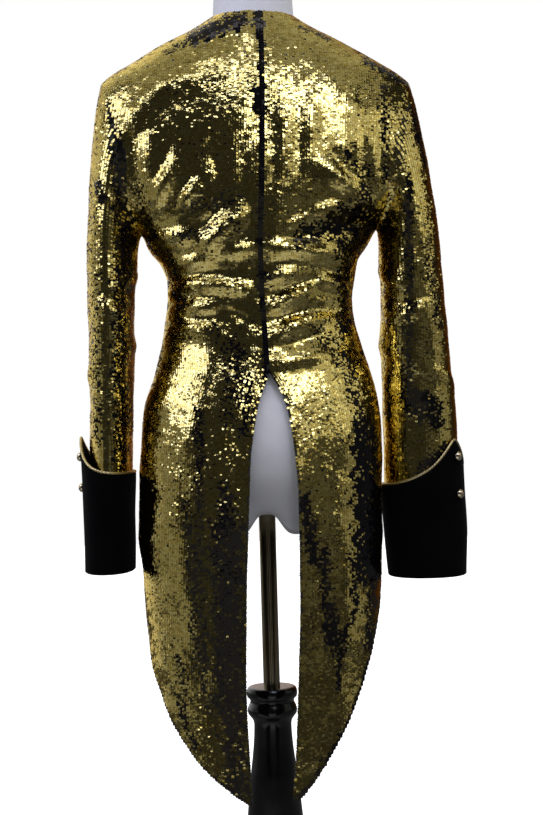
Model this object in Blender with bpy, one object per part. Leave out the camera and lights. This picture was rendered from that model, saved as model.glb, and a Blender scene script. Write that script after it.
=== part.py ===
"""Sequin tailcoat on a limbless dress form with a turned stand.

Metres, +Z up, floor at z = 0 under the middle of the stand's base. The coat's back faces -Y,
its wearer's front +Y and its wearer's right side +X. Side -1 is the wearer's left.
On the coat an angle runs round each half: 0 on the side line, 90 degrees at the centre back
and -90 degrees at the centre front.
"""

import math
from collections import namedtuple

import bmesh
import bpy
from mathutils import Vector
from mathutils.bvhtree import BVHTree

# Cloth and seams
CLOTH = 0.0022
VELVET = 0.0026
HALF_SEAM = 0.0002
SEAM_GAP = 0.0004
SEAT_GAP = 0.0004

# Heights of the coat
NECK_Z = 1.459
SHOULDER_TIP_Z = 1.378
UNDERARM_Z = 1.185
VENT_TOP_Z = 1.004
TAIL_FAN_Z = 0.86
FRONT_CORNER_Z = 1.065
CLOSING_Z = 1.20
SHOULDER_DROP = 0.022

# Cut lines on the coat
BODY_SQUARE = 2.2
ARMHOLE_SWING = math.radians(23.5)
NECK_HALF_OPENING = 0.050
FRONT_EDGE_CURVE = 1.8

# Grid of a panel, in cells
BACK_COLUMNS = 11
FRONT_COLUMNS = 9
FRONT_TAIL_ROWS = 7
TAIL_ROWS = 13
HIP_ROWS = 6
WAIST_ROWS = 17
ARMHOLE_ROWS = 10
YOKE_ROWS = 4

# Sleeves
SLEEVE_HEAD_ROWS = 6
SLEEVE_HEAD_END_Z = 1.14
SLEEVE_ROWS = 14
SLEEVE_SIDES = 2 * ARMHOLE_ROWS
SLEEVE_SQUARE = 2.1
HEAD_PUFF = 0.30
HEAD_REACH = 0.60
HEAD_SETTLE = 0.80
CUFF_GRIP = 0.10

# Cuffs
CUFF_ROWS = 5
CUFF_FLARE = 0.0015
PEAK_SPREAD = math.radians(42)
PEAK_CURVE = 1.35
PIPING_RADIUS = 0.0018
PIPING_SIDES = 5
BUTTON_RADIUS = 0.006
BUTTON_HEIGHT = 0.0084
BUTTON_SIDES = 12

# Stand
POLE_RADIUS = 0.011
POLE_TOP_Z = 0.86
POLE_FOOT_Z = 0.560
BORE_CLEARANCE = 0.0004
BORE_EDGE = 0.003
FORM_ARCH_Z = 0.8235
FORM_LOBE_Z = 0.7965
FORM_ARCH_WIDTH = 0.0205
FORM_ARCH_RISE = 0.020
FORM_SIDES = 22
FORM_SQUARE = 2.1
TURNED_SIDES = 20
BASE_RADIUS = 0.185
BASE_HEIGHT = 0.030
BASE_EDGE = 0.006
BASE_SIDES = 40

BodyRow = namedtuple("BodyRow", "z left right back front")
COAT = (
    BodyRow(1.459, 0.0570, 0.0570, 0.0575, 0.047),
    BodyRow(1.450, 0.0705, 0.0705, 0.0630, 0.052),
    BodyRow(1.440, 0.0890, 0.0890, 0.0680, 0.058),
    BodyRow(1.430, 0.1100, 0.1100, 0.0725, 0.063),
    BodyRow(1.419, 0.1310, 0.1310, 0.0765, 0.068),
    BodyRow(1.407, 0.1510, 0.1510, 0.0805, 0.073),
    BodyRow(1.397, 0.1680, 0.1680, 0.0835, 0.077),
    BodyRow(1.388, 0.1840, 0.1840, 0.0860, 0.081),
    BodyRow(1.378, 0.1970, 0.1970, 0.0885, 0.085),
    BodyRow(1.364, 0.2100, 0.2100, 0.0915, 0.089),
    BodyRow(1.345, 0.2195, 0.2195, 0.0950, 0.096),
    BodyRow(1.320, 0.2250, 0.2250, 0.0985, 0.104),
    BodyRow(1.290, 0.2240, 0.2240, 0.1005, 0.111),
    BodyRow(1.250, 0.2090, 0.2090, 0.1015, 0.119),
    BodyRow(1.208, 0.1740, 0.1740, 0.0985, 0.124),
    BodyRow(1.185, 0.1515, 0.1500, 0.0960, 0.123),
    BodyRow(1.165, 0.1420, 0.1395, 0.0930, 0.120),
    BodyRow(1.145, 0.1275, 0.1260, 0.0895, 0.115),
    BodyRow(1.120, 0.1200, 0.1205, 0.0845, 0.107),
    BodyRow(1.098, 0.1205, 0.1160, 0.0815, 0.102),
    BodyRow(1.070, 0.1240, 0.1190, 0.0810, 0.101),
    BodyRow(1.040, 0.1300, 0.1260, 0.0850, 0.103),
    BodyRow(1.000, 0.1415, 0.1385, 0.0950, 0.108),
    BodyRow(0.960, 0.1545, 0.1475, 0.1050, 0.113),
    BodyRow(0.920, 0.1590, 0.1510, 0.1120, 0.115),
    BodyRow(0.860, 0.1635, 0.1495, 0.1180, 0.115),
    BodyRow(0.800, 0.1660, 0.1475, 0.1200, 0.112),
    BodyRow(0.740, 0.1605, 0.1460, 0.1195, 0.107),
    BodyRow(0.600, 0.1560, 0.1450, 0.1170, 0.100),
    BodyRow(0.460, 0.1530, 0.1440, 0.1150, 0.096),
)

SeamRow = namedtuple("SeamRow", "z x")
CENTRE_SEAM = (
    SeamRow(1.459, 0.0110),
    SeamRow(1.387, 0.0110),
    SeamRow(1.239, 0.0070),
    SeamRow(1.150, 0.0030),
    SeamRow(1.103, 0.0033),
    SeamRow(1.054, 0.0055),
    SeamRow(1.004, 0.0074),
)
VentRow = namedtuple("VentRow", "z left right")
VENT = (
    VentRow(1.004, 0.0074, 0.0074),
    VentRow(0.990, 0.0030, 0.0160),
    VentRow(0.967, -0.0060, 0.0270),
    VentRow(0.930, -0.0135, 0.0345),
    VentRow(0.893, -0.0185, 0.0385),
    VentRow(0.845, -0.0215, 0.0410),
    VentRow(0.722, -0.0280, 0.0393),
    VentRow(0.600, -0.0315, 0.0334),
    VentRow(0.538, -0.0300, 0.0293),
    VentRow(0.460, -0.0270, 0.0225),
)

TailCut = namedtuple("TailCut", "tip_z hem_top_z curve")
TAIL_CUTS = {-1: TailCut(0.470, 0.700, 1.85), 1: TailCut(0.471, 0.760, 1.65)}
TAIL_POINT = 0.10

# Folds of the back, as ridges that stand out of the cloth, seen from behind
Fold = namedtuple("Fold", "x1 z1 x2 z2 width height")
BACK_FOLDS = (
    Fold(-0.072, 1.146, -0.024, 1.204, 0.0120, 0.0075),
    Fold(-0.125, 1.228, -0.100, 1.264, 0.0110, 0.0050),
    Fold(-0.098, 1.218, -0.068, 1.240, 0.0105, 0.0045),
    Fold(-0.112, 1.142, -0.068, 1.145, 0.0085, 0.0065),
    Fold(-0.096, 1.117, -0.014, 1.107, 0.0095, 0.0100),
    Fold(-0.102, 1.086, -0.044, 1.089, 0.0090, 0.0085),
    Fold(-0.108, 1.066, -0.054, 1.057, 0.0090, 0.0075),
    Fold(-0.042, 1.155, -0.006, 1.158, 0.0085, 0.0045),
    Fold(0.008, 1.155, 0.106, 1.146, 0.0100, 0.0100),
    Fold(0.006, 1.117, 0.050, 1.126, 0.0090, 0.0085),
    Fold(0.008, 1.080, 0.064, 1.108, 0.0095, 0.0100),
    Fold(0.012, 1.045, 0.068, 1.071, 0.0095, 0.0095),
    Fold(0.014, 1.014, 0.074, 1.023, 0.0090, 0.0065),
    Fold(0.070, 1.120, 0.114, 1.102, 0.0090, 0.0075),
    Fold(0.078, 1.258, 0.132, 1.212, 0.0130, 0.0070),
    Fold(-0.140, 1.178, -0.060, 1.171, 0.0110, 0.0070),
)
FRONT_FOLDS = (
    Fold(-0.106, 1.128, -0.030, 1.116, 0.0100, 0.0065),
    Fold(-0.112, 1.092, -0.048, 1.096, 0.0095, 0.0055),
    Fold(0.030, 1.122, 0.104, 1.132, 0.0100, 0.0065),
    Fold(0.044, 1.084, 0.108, 1.092, 0.0095, 0.0055),
    Fold(-0.135, 1.205, -0.080, 1.240, 0.0130, 0.0050),
    Fold(0.080, 1.236, 0.136, 1.200, 0.0130, 0.0050),
)

SleeveRow = namedtuple("SleeveRow", "z x y half_x half_y")
SLEEVES = {
    -1: (
        SleeveRow(1.140, 0.1935, 0.000, 0.0298, 0.066),
        SleeveRow(1.050, 0.1954, 0.001, 0.0276, 0.066),
        SleeveRow(0.970, 0.1980, 0.006, 0.0267, 0.064),
        SleeveRow(0.920, 0.1999, 0.009, 0.0260, 0.062),
        SleeveRow(0.700, 0.2060, 0.019, 0.0250, 0.059),
    ),
    1: (
        SleeveRow(1.140, 0.1955, 0.004, 0.0382, 0.060),
        SleeveRow(1.050, 0.1985, 0.010, 0.0425, 0.057),
        SleeveRow(0.970, 0.2022, 0.020, 0.0457, 0.054),
        SleeveRow(0.920, 0.2039, 0.025, 0.0473, 0.052),
        SleeveRow(0.700, 0.2060, 0.031, 0.0460, 0.050),
    ),
}

# Soft folds of a sleeve: half round it, at a height that climbs with the angle
SleeveFold = namedtuple("SleeveFold", "z turn climb spread width height")
SLEEVE_FOLDS = {
    -1: (
        SleeveFold(1.125, 2.6, 0.016, 0.9, 0.010, 0.0045),
        SleeveFold(1.085, 1.9, -0.014, 0.8, 0.009, 0.0040),
        SleeveFold(1.040, 2.9, 0.012, 0.7, 0.009, 0.0035),
        SleeveFold(1.010, 0.6, 0.016, 0.8, 0.010, 0.0035),
    ),
    1: (
        SleeveFold(1.120, 2.5, 0.018, 0.9, 0.010, 0.0045),
        SleeveFold(1.070, 2.0, -0.015, 0.8, 0.010, 0.0040),
        SleeveFold(1.030, 2.8, 0.012, 0.7, 0.009, 0.0035),
        SleeveFold(0.990, 0.7, 0.016, 0.8, 0.010, 0.0035),
    ),
}

CuffCut = namedtuple("CuffCut", "low_z peak_z peak_turn button_turn upper_button_z lower_button_z")
CUFF_CUTS = {
    -1: CuffCut(0.8770, 0.9235, 0.0, 0.0, 0.9060, 0.8640),
    1: CuffCut(0.8500, 0.9080, math.radians(42), math.radians(50), 0.8895, 0.8405),
}
CUFFS = {
    -1: (
        SleeveRow(0.930, 0.2046, 0.008, 0.0350, 0.0700),
        SleeveRow(0.880, 0.2045, 0.010, 0.0345, 0.0700),
        SleeveRow(0.820, 0.2055, 0.014, 0.0330, 0.0690),
        SleeveRow(0.752, 0.2070, 0.018, 0.0325, 0.0670),
    ),
    1: (
        SleeveRow(0.910, 0.2035, 0.028, 0.0545, 0.0590),
        SleeveRow(0.850, 0.2055, 0.030, 0.0555, 0.0590),
        SleeveRow(0.800, 0.2075, 0.031, 0.0550, 0.0580),
        SleeveRow(0.734, 0.2092, 0.031, 0.0515, 0.0560),
    ),
}

FormRow = namedtuple("FormRow", "z half back front")
FORM = (
    FormRow(1.5300, 0.0500, 0.0500, 0.0500),
    FormRow(1.4900, 0.0512, 0.0512, 0.0450),
    FormRow(1.4590, 0.0530, 0.0530, 0.0430),
    FormRow(1.4465, 0.0705, 0.0598, 0.0484),
    FormRow(1.4365, 0.0887, 0.0643, 0.0544),
    FormRow(1.4265, 0.1092, 0.0688, 0.0594),
    FormRow(1.4155, 0.1296, 0.0728, 0.0644),
    FormRow(1.4035, 0.1480, 0.0768, 0.0694),
    FormRow(1.3850, 0.1620, 0.0800, 0.0760),
    FormRow(1.3600, 0.1680, 0.0840, 0.0840),
    FormRow(1.3100, 0.1640, 0.0890, 0.0980),
    FormRow(1.2500, 0.1520, 0.0900, 0.1120),
    FormRow(1.2000, 0.1400, 0.0870, 0.1140),
    FormRow(1.1500, 0.1190, 0.0810, 0.1060),
    FormRow(1.1000, 0.1060, 0.0730, 0.0930),
    FormRow(1.0500, 0.1130, 0.0730, 0.0930),
    FormRow(1.0000, 0.1290, 0.0850, 0.0990),
    FormRow(0.9400, 0.1400, 0.0985, 0.1050),
    FormRow(0.9150, 0.1410, 0.0995, 0.1050),
    FormRow(0.8800, 0.1420, 0.0940, 0.1050),
    FormRow(0.8350, 0.1400, 0.0755, 0.1020),
    FormRow(0.8070, 0.1330, 0.0640, 0.0960),
)

# The form's rings below its neck cap, in stretches of even steps
FormStretch = namedtuple("FormStretch", "top_z bottom_z steps")
FORM_STRETCHES = (
    FormStretch(1.5070, 1.4647, 2),
    FormStretch(1.4555, 1.4155, 4),
    FormStretch(1.3923, 0.8070, 22),
)
CapRow = namedtuple("CapRow", "z scale")
NECK_CAP = (
    CapRow(1.530, 0.550),
    CapRow(1.530, 0.860),
    CapRow(1.525, 0.985),
)
UndersideRow = namedtuple("UndersideRow", "scale tuck")
FORM_UNDERSIDE = (
    UndersideRow(0.93, 0.35),
    UndersideRow(0.78, 0.85),
    UndersideRow(0.45, 1.00),
    UndersideRow(0.20, 1.00),
)

# Turned column, from its top shoulder down to the base
ProfileRow = namedtuple("ProfileRow", "z radius")
COLUMN = (
    ProfileRow(0.5960, 0.0270),
    ProfileRow(0.5950, 0.0310),
    ProfileRow(0.5900, 0.0328),
    ProfileRow(0.5840, 0.0325),
    ProfileRow(0.5800, 0.0290),
    ProfileRow(0.5750, 0.0285),
    ProfileRow(0.5670, 0.0322),
    ProfileRow(0.5610, 0.0315),
    ProfileRow(0.5480, 0.0243),
    ProfileRow(0.5300, 0.0252),
    ProfileRow(0.5110, 0.0268),
    ProfileRow(0.4780, 0.0310),
    ProfileRow(0.4460, 0.0345),
    ProfileRow(0.4000, 0.0380),
    ProfileRow(0.3300, 0.0400),
    ProfileRow(0.2500, 0.0380),
    ProfileRow(0.1700, 0.0310),
    ProfileRow(0.1150, 0.0245),
    ProfileRow(0.0950, 0.0240),
    ProfileRow(0.0880, 0.0330),
    ProfileRow(0.0760, 0.0345),
    ProfileRow(0.0690, 0.0300),
    ProfileRow(0.0500, 0.0420),
    ProfileRow(0.0304, 0.0560),
)


def clear_scene():
    """Removes the objects that Blender starts with."""
    for item in list(bpy.data.objects):
        bpy.data.objects.remove(item, do_unlink=True)


def finish(name, colour, roughness, metallic=0.0):
    """A named material with one plain finish."""
    material = bpy.data.materials.new(name)
    material.use_nodes = True
    shader = material.node_tree.nodes["Principled BSDF"]
    shader.inputs["Base Color"].default_value = (*colour, 1.0)
    shader.inputs["Roughness"].default_value = roughness
    shader.inputs["Metallic"].default_value = metallic
    return material


def add_object(name, bm, material):
    """Makes a closed mesh an object of its own, faces out and shaded smooth."""
    bmesh.ops.recalc_face_normals(bm, faces=bm.faces)
    mesh = bpy.data.meshes.new(name)
    bm.to_mesh(mesh)
    bm.free()
    mesh.shade_smooth()
    mesh.set_sharp_from_angle(angle=math.radians(50))
    mesh.materials.append(material)
    item = bpy.data.objects.new(name, mesh)
    bpy.context.scene.collection.objects.link(item)
    return item


def read_row(rows, z, column):
    """A table's value at height z, on a smooth curve that never overshoots its rows."""
    z = max(rows[-1].z, min(rows[0].z, z))
    at = 0
    while at < len(rows) - 2 and z < rows[at + 1].z:
        at += 1
    heights = [row.z for row in rows]
    values = [getattr(row, column) for row in rows]

    def slope(index):
        if index == 0 or index == len(rows) - 1:
            near = min(index, len(rows) - 2)
            return (values[near + 1] - values[near]) / (heights[near + 1] - heights[near])
        above = (values[index] - values[index - 1]) / (heights[index] - heights[index - 1])
        below = (values[index + 1] - values[index]) / (heights[index + 1] - heights[index])
        if above * below <= 0:
            return 0.0
        return 2 * above * below / (above + below)

    span = heights[at + 1] - heights[at]
    t = (z - heights[at]) / span
    start = (1 + 2 * t) * (1 - t) ** 2 * values[at] + t * (1 - t) ** 2 * span * slope(at)
    end = t * t * (3 - 2 * t) * values[at + 1] + t * t * (t - 1) * span * slope(at + 1)
    return start + end


def ease(value, low, high):
    """0 below low, 1 above high and a soft step between."""
    t = max(0.0, min(1.0, (value - low) / (high - low)))
    return t * t * (3 - 2 * t)


def ridge(fold, across, up):
    """How far a straight fold lifts a point: highest at its middle, fading at its ends."""
    run = Vector((fold.x2 - fold.x1, fold.z2 - fold.z1))
    offset = Vector((across - fold.x1, up - fold.z1))
    share = offset.dot(run) / run.length_squared
    nearest = max(0.0, min(1.0, share))
    distance = (offset - run * nearest).length
    body = 0.35 + 0.65 * math.sin(math.pi * nearest)
    return fold.height * body * math.exp(-((distance / fold.width) ** 2))


def square_reach(across, along, power):
    """How far a rounded-square section of that power reaches in a scaled direction."""
    return (abs(across) ** power + abs(along) ** power) ** (-1 / power)


def coat_side(side):
    """The table column that holds this side's half width."""
    return "left" if side < 0 else "right"


def coat_plain(side, angle, z):
    """A point of the coat's outer face before folds."""
    half = read_row(COAT, z, coat_side(side))
    depth = read_row(COAT, z, "back" if angle > 0 else "front")
    across, along = math.cos(angle), math.sin(angle)
    radius = square_reach(across / half, along / depth, BODY_SQUARE)
    x = side * radius * across
    drop = SHOULDER_DROP * x * ease(z, UNDERARM_Z, SHOULDER_TIP_Z)
    return Vector((x, -radius * along, z - drop))


def coat_face(side, angle, z):
    """A point of the coat's outer face with its folds."""
    point = coat_plain(side, angle, z)
    folds = BACK_FOLDS if angle > 0 else FRONT_FOLDS
    lift = sum(ridge(fold, point.x, point.z) for fold in folds)
    lift *= ease(abs(angle), 0.02, 0.25)
    outward = Vector((point.x, point.y * 1.6, 0)).normalized()
    return point + outward * lift


def coat_normal(side, angle, z):
    """The outward direction of the coat's face."""
    turn, rise = 0.02, 0.002
    round_it = coat_face(side, angle + turn, z) - coat_face(side, angle - turn, z)
    low, high = max(z - rise, COAT[-1].z), min(z + rise, NECK_Z)
    up_it = coat_face(side, angle, high) - coat_face(side, angle, low)
    normal = round_it.cross(up_it).normalized()
    outward = Vector((side * math.cos(angle), -math.sin(angle), 0))
    return normal if normal.dot(outward) > 0 else -normal


def angle_at(side, x, z, back):
    """The angle at which the coat's section at height z reaches x."""
    half = read_row(COAT, z, coat_side(side))
    depth = read_row(COAT, z, "back" if back else "front")
    share = min(1.0, abs(x) / half)
    y = depth * (1 - share**BODY_SQUARE) ** (1 / BODY_SQUARE)
    return math.atan2(y, side * x) * (1 if back else -1)


def step_angle(side, angle, z, length):
    """The angle that spans a length on the coat's section."""
    point = coat_plain(side, angle, z)
    return length / math.hypot(point.x, point.y)


def armhole_angle(z):
    """How far the armhole's edge stands from the side line, a half oval between its ends."""
    share = (z - UNDERARM_Z) / (SHOULDER_TIP_Z - UNDERARM_Z)
    if not 0 < share < 1:
        return 0.0
    return ARMHOLE_SWING * math.sqrt(1 - (2 * share - 1) ** 2)


def armhole_rows():
    """Heights of the armhole's rows, evenly spaced round its curve."""
    rise = SHOULDER_TIP_Z - UNDERARM_Z
    steps = range(ARMHOLE_ROWS + 1)
    return [UNDERARM_Z + rise * (1 - math.cos(math.pi * k / ARMHOLE_ROWS)) / 2 for k in steps]


def even(low, high, count):
    """Heights from low to high in equal steps, with both ends."""
    return [low + (high - low) * k / count for k in range(count + 1)]


def body_rows():
    """Heights of the rows from the vent's top to the neck, shared by fronts and backs."""
    waist = even(VENT_TOP_Z, UNDERARM_Z, WAIST_ROWS)
    yoke = even(SHOULDER_TIP_Z, NECK_Z, YOKE_ROWS)
    return waist[:-1] + armhole_rows() + yoke[1:]


def back_point(side, share, z):
    """Angle of a back panel's grid point: share 0 at the centre back, 1 at its outer edge."""
    if z > VENT_TOP_Z:
        centre_x = read_row(CENTRE_SEAM, z, "x")
    else:
        centre_x = read_row(VENT, z, coat_side(side))
    centre = angle_at(side, centre_x, z, True)
    inner = centre - step_angle(side, centre, z, HALF_SEAM)
    edge = armhole_angle(z)
    outer = edge + step_angle(side, edge, z, HALF_SEAM)
    return inner + (outer - inner) * share


def tail_hem(side, share):
    """Height of a tail's hem at this share of its width: a rounded sweep down to the tip."""
    cut = TAIL_CUTS[side]
    z = cut.hem_top_z
    tip_x = abs(coat_plain(side, back_point(side, 0.0, cut.tip_z), cut.tip_z).x)
    side_x = read_row(COAT, cut.hem_top_z, coat_side(side))
    for _ in range(6):
        x = abs(coat_plain(side, back_point(side, share, z), z).x)
        reach = max(0.0, min(1.0, (x - tip_x) / (side_x - tip_x)))
        sweep = (1 - TAIL_POINT) * (1 - reach**cut.curve) ** (1 / cut.curve)
        sweep += TAIL_POINT * (1 - reach) ** 3
        z = cut.hem_top_z - (cut.hem_top_z - cut.tip_z) * sweep
    return z


def front_hem(side, share):
    """Height of a front's lower edge, which climbs from the side to the waist."""
    low = TAIL_CUTS[side].hem_top_z
    return low + (FRONT_CORNER_Z - low) * share ** (1 / FRONT_EDGE_CURVE)


def front_point(side, share, z):
    """Angle of a front panel's grid point: share 0 at its outer edge, 1 at its front edge."""
    edge = -armhole_angle(z)
    outer = edge - step_angle(side, edge, z, HALF_SEAM)
    opening = NECK_HALF_OPENING * max(0.0, (z - CLOSING_Z) / (NECK_Z - CLOSING_Z))
    meeting = 0.0015 + opening
    inner = angle_at(side, side * meeting, z, False)
    return outer + (inner - outer) * share


def closed_wall(name, outer, inner, is_tube, material):
    """A cloth wall between two matching grids of points, closed round its edges."""
    bm = bmesh.new()
    faces = [[[bm.verts.new(p) for p in row] for row in grid] for grid in (outer, inner)]
    rows, columns = len(outer), len(outer[0])
    last = columns if is_tube else columns - 1

    def quad(a, b, c, d):
        bm.faces.new((a, b, c))
        bm.faces.new((a, c, d))

    for row in range(rows - 1):
        for column in range(last):
            after = (column + 1) % columns
            for grid in faces:
                low, high = grid[row], grid[row + 1]
                quad(low[column], low[after], high[after], high[column])
        if not is_tube:
            for column in (0, columns - 1):
                quad(
                    faces[0][row][column],
                    faces[0][row + 1][column],
                    faces[1][row + 1][column],
                    faces[1][row][column],
                )
    for row in (0, rows - 1):
        for column in range(last):
            after = (column + 1) % columns
            quad(
                faces[0][row][column],
                faces[0][row][after],
                faces[1][row][after],
                faces[1][row][column],
            )
    return add_object(name, bm, material)


def coat_wall(name, side, grid, material):
    """A coat panel from a grid of (angle, height)."""
    outer = [[coat_face(side, angle, z) for angle, z in row] for row in grid]
    inner = []
    for row in grid:
        inner.append([coat_face(side, angle, z) - coat_normal(side, angle, z) * CLOTH for angle, z in row])
    return closed_wall(name, outer, inner, False, material)


def make_back(side, material):
    """Half of the back, cut in one with its tail."""
    shares = even(0.0, 1.0, BACK_COLUMNS)
    hems = [tail_hem(side, share) for share in shares]
    grid = []
    for rise in even(0.0, 1.0, TAIL_ROWS)[:-1]:
        heights = [hem + (TAIL_FAN_Z - hem) * rise for hem in hems]
        grid.append([(back_point(side, s, z), z) for s, z in zip(shares, heights)])
    for z in even(TAIL_FAN_Z, VENT_TOP_Z, HIP_ROWS)[:-1] + body_rows():
        grid.append([(back_point(side, share, z), z) for share in shares])
    return coat_wall("back_left" if side < 0 else "back_right", side, grid, material)


def make_front(side, material):
    """A front, cut away from the waist to the side, with a V neck that meets edge to edge."""
    shares = [share**1.4 for share in even(0.0, 1.0, FRONT_COLUMNS)]
    hems = [front_hem(side, share) for share in shares]
    low = hems[0]
    below = even(low, VENT_TOP_Z, FRONT_TAIL_ROWS)[:-1]
    rows = body_rows()
    fan = [z for z in below + rows if z < UNDERARM_Z]
    grid = []
    for side_z in fan:
        rise = (side_z - low) / (UNDERARM_Z - low)
        heights = [hem + (UNDERARM_Z - hem) * rise for hem in hems]
        grid.append([(front_point(side, s, z), z) for s, z in zip(shares, heights)])
    for z in [z for z in rows if z >= UNDERARM_Z]:
        grid.append([(front_point(side, share, z), z) for share in shares])
    return coat_wall("front_left" if side < 0 else "front_right", side, grid, material)


def oval(rows, side, turn, z):
    """A point of a sleeve's or cuff's section: turn 0 points away from the body, then back."""
    half_x, half_y = read_row(rows, z, "half_x"), read_row(rows, z, "half_y")
    across, along = math.cos(turn), math.sin(turn)
    power = 2 / SLEEVE_SQUARE
    x = read_row(rows, z, "x") + half_x * math.copysign(abs(across) ** power, across)
    y = read_row(rows, z, "y") - half_y * math.copysign(abs(along) ** power, along)
    return Vector((side * x, y, z))


def sleeve_lift(side, turn, z):
    """How far a sleeve's folds lift it at this place."""
    lift = 0.0
    for fold in SLEEVE_FOLDS[side]:
        swing = math.remainder(turn - fold.turn, 2 * math.pi)
        height = fold.z + fold.climb * swing
        fade = (swing / fold.spread) ** 2 + ((z - height) / fold.width) ** 2
        lift += fold.height * math.exp(-fade)
    return lift


def cuff_bottom(side):
    """Height of a cuff's hem."""
    return CUFFS[side][-1].z


def sleeve_point(side, turn, z):
    """A point of a sleeve below its head. Inside the cuff it follows the cuff's inner face."""
    own = oval(SLEEVES[side], side, turn, z)
    centre = Vector((side * read_row(SLEEVES[side], z, "x"), read_row(SLEEVES[side], z, "y"), z))
    own += (own - centre).normalized() * sleeve_lift(side, turn, z)
    cuff = oval(CUFFS[side], side, turn, z)
    middle = Vector((side * read_row(CUFFS[side], z, "x"), read_row(CUFFS[side], z, "y"), z))
    half_x, half_y = read_row(CUFFS[side], z, "half_x"), read_row(CUFFS[side], z, "half_y")
    inset = VELVET + 2 * SEAT_GAP
    flat = cuff - middle
    shrink = Vector((flat.x * (1 - inset / half_x), flat.y * (1 - inset / half_y), 0))
    grip = 1 - ease(z, cuff_bottom(side) + 0.02, cuff_bottom(side) + CUFF_GRIP)
    return own.lerp(middle + shrink, grip)


def armhole_ring(side):
    """The armhole's points and outward directions: up its back, then down its front."""
    ring = []
    heights = armhole_rows()
    for z in heights:
        angle = armhole_angle(z)
        ring.append((coat_face(side, angle, z), coat_normal(side, angle, z)))
    for z in reversed(heights[1:-1]):
        angle = -armhole_angle(z)
        ring.append((coat_face(side, angle, z), coat_normal(side, angle, z)))
    return ring


def sleeve_rings(side):
    """A sleeve's outer points, ring by ring from the armhole down, and the first ring's normals."""
    armhole = armhole_ring(side)
    middle = sum((point for point, _ in armhole), Vector()) / len(armhole)
    turns = [math.pi * (1 - k / ARMHOLE_ROWS) for k in range(SLEEVE_SIDES)]
    starts, headings, normals = [], [], []
    for k, (point, normal) in enumerate(armhole):
        before, after = armhole[k - 1][0], armhole[(k + 1) % SLEEVE_SIDES][0]
        into = (after - before).cross(normal).normalized()
        if into.dot(middle - point) < 0:
            into = -into
        starts.append(point + into * SEAM_GAP)
        straight = (sleeve_point(side, turns[k], SLEEVE_HEAD_END_Z) - starts[-1]).normalized()
        settle = HEAD_SETTLE * (1 + math.cos(turns[k])) / 2
        heading = (into + normal * HEAD_PUFF).normalized().lerp(straight, settle)
        headings.append(heading.normalized())
        normals.append(normal)
    rings = [starts]
    for step in range(1, SLEEVE_HEAD_ROWS + 1):
        t = step / SLEEVE_HEAD_ROWS
        ring = []
        for start, heading, turn in zip(starts, headings, turns):
            end = sleeve_point(side, turn, SLEEVE_HEAD_END_Z)
            reach = (end - start).length * HEAD_REACH
            leave = heading * reach * t * (1 - t) ** 2
            arrive = Vector((0, 0, -reach)) * t * t * (t - 1)
            settle = t * t * (3 - 2 * t)
            ring.append(start.lerp(end, settle) + leave + arrive)
        rings.append(ring)
    for z in even(SLEEVE_HEAD_END_Z, cuff_bottom(side) + SEAT_GAP, SLEEVE_ROWS)[1:]:
        rings.append([sleeve_point(side, turn, z) for turn in turns])
    return rings, normals


def inset_rings(rings, thickness, first_normals=None):
    """Inner points of a tube whose rings are given, each moved in along the tube's own normal."""
    inner = []
    count = len(rings[0])
    for r, ring in enumerate(rings):
        above, below = rings[max(r - 1, 0)], rings[min(r + 1, len(rings) - 1)]
        centre = sum(ring, Vector()) / count
        row = []
        for k, point in enumerate(ring):
            if r == 0 and first_normals:
                row.append(point - first_normals[k] * thickness)
                continue
            round_it = ring[(k + 1) % count] - ring[k - 1]
            normal = round_it.cross(below[k] - above[k]).normalized()
            if normal.dot(point - centre) < 0:
                normal = -normal
            row.append(point - normal * thickness)
        inner.append(row)
    return inner


def make_sleeve(side, material):
    """A sleeve from the armhole to the hem inside its cuff."""
    rings, normals = sleeve_rings(side)
    inner = inset_rings(rings, CLOTH, normals)
    return closed_wall("sleeve_left" if side < 0 else "sleeve_right", rings, inner, True, material)


def peak(side, turn):
    """1 at the cuff's peak, falling softly to 0 round it."""
    swing = abs(math.remainder(turn - CUFF_CUTS[side].peak_turn, 2 * math.pi))
    return math.exp(-((swing / PEAK_SPREAD) ** PEAK_CURVE))


def cuff_top(side, turn):
    """Height of the cuff's top edge, which rises to a peak on its outer side."""
    cut = CUFF_CUTS[side]
    return cut.low_z + (cut.peak_z - cut.low_z) * peak(side, turn)


def cuff_point(side, turn, rise):
    """A point of the cuff's outer face: rise 0 at its hem, 1 at its top edge."""
    low = cuff_bottom(side)
    z = low + (cuff_top(side, turn) - low) * rise
    point = oval(CUFFS[side], side, turn, z)
    middle = Vector((side * read_row(CUFFS[side], z, "x"), read_row(CUFFS[side], z, "y"), z))
    flare = CUFF_FLARE * peak(side, turn) * rise**4
    return point + (point - middle).normalized() * flare


def cuff_rings(side):
    """Rings of a cuff's outer face, from its hem to its top edge."""
    turns = [2 * math.pi * k / SLEEVE_SIDES for k in range(SLEEVE_SIDES)]
    return [[cuff_point(side, turn, rise) for turn in turns] for rise in even(0.0, 1.0, CUFF_ROWS)]


def make_cuff(side, material):
    """A gauntlet cuff, open at both ends, that flares away from the sleeve at its peak."""
    rings = cuff_rings(side)
    inner = inset_rings(rings, VELVET)
    for ring, row in ((rings[0], inner[0]), (rings[-1], inner[-1])):
        for k, point in enumerate(ring):
            row[k].z = point.z
    return closed_wall("cuff_left" if side < 0 else "cuff_right", rings, inner, True, material)


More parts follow.
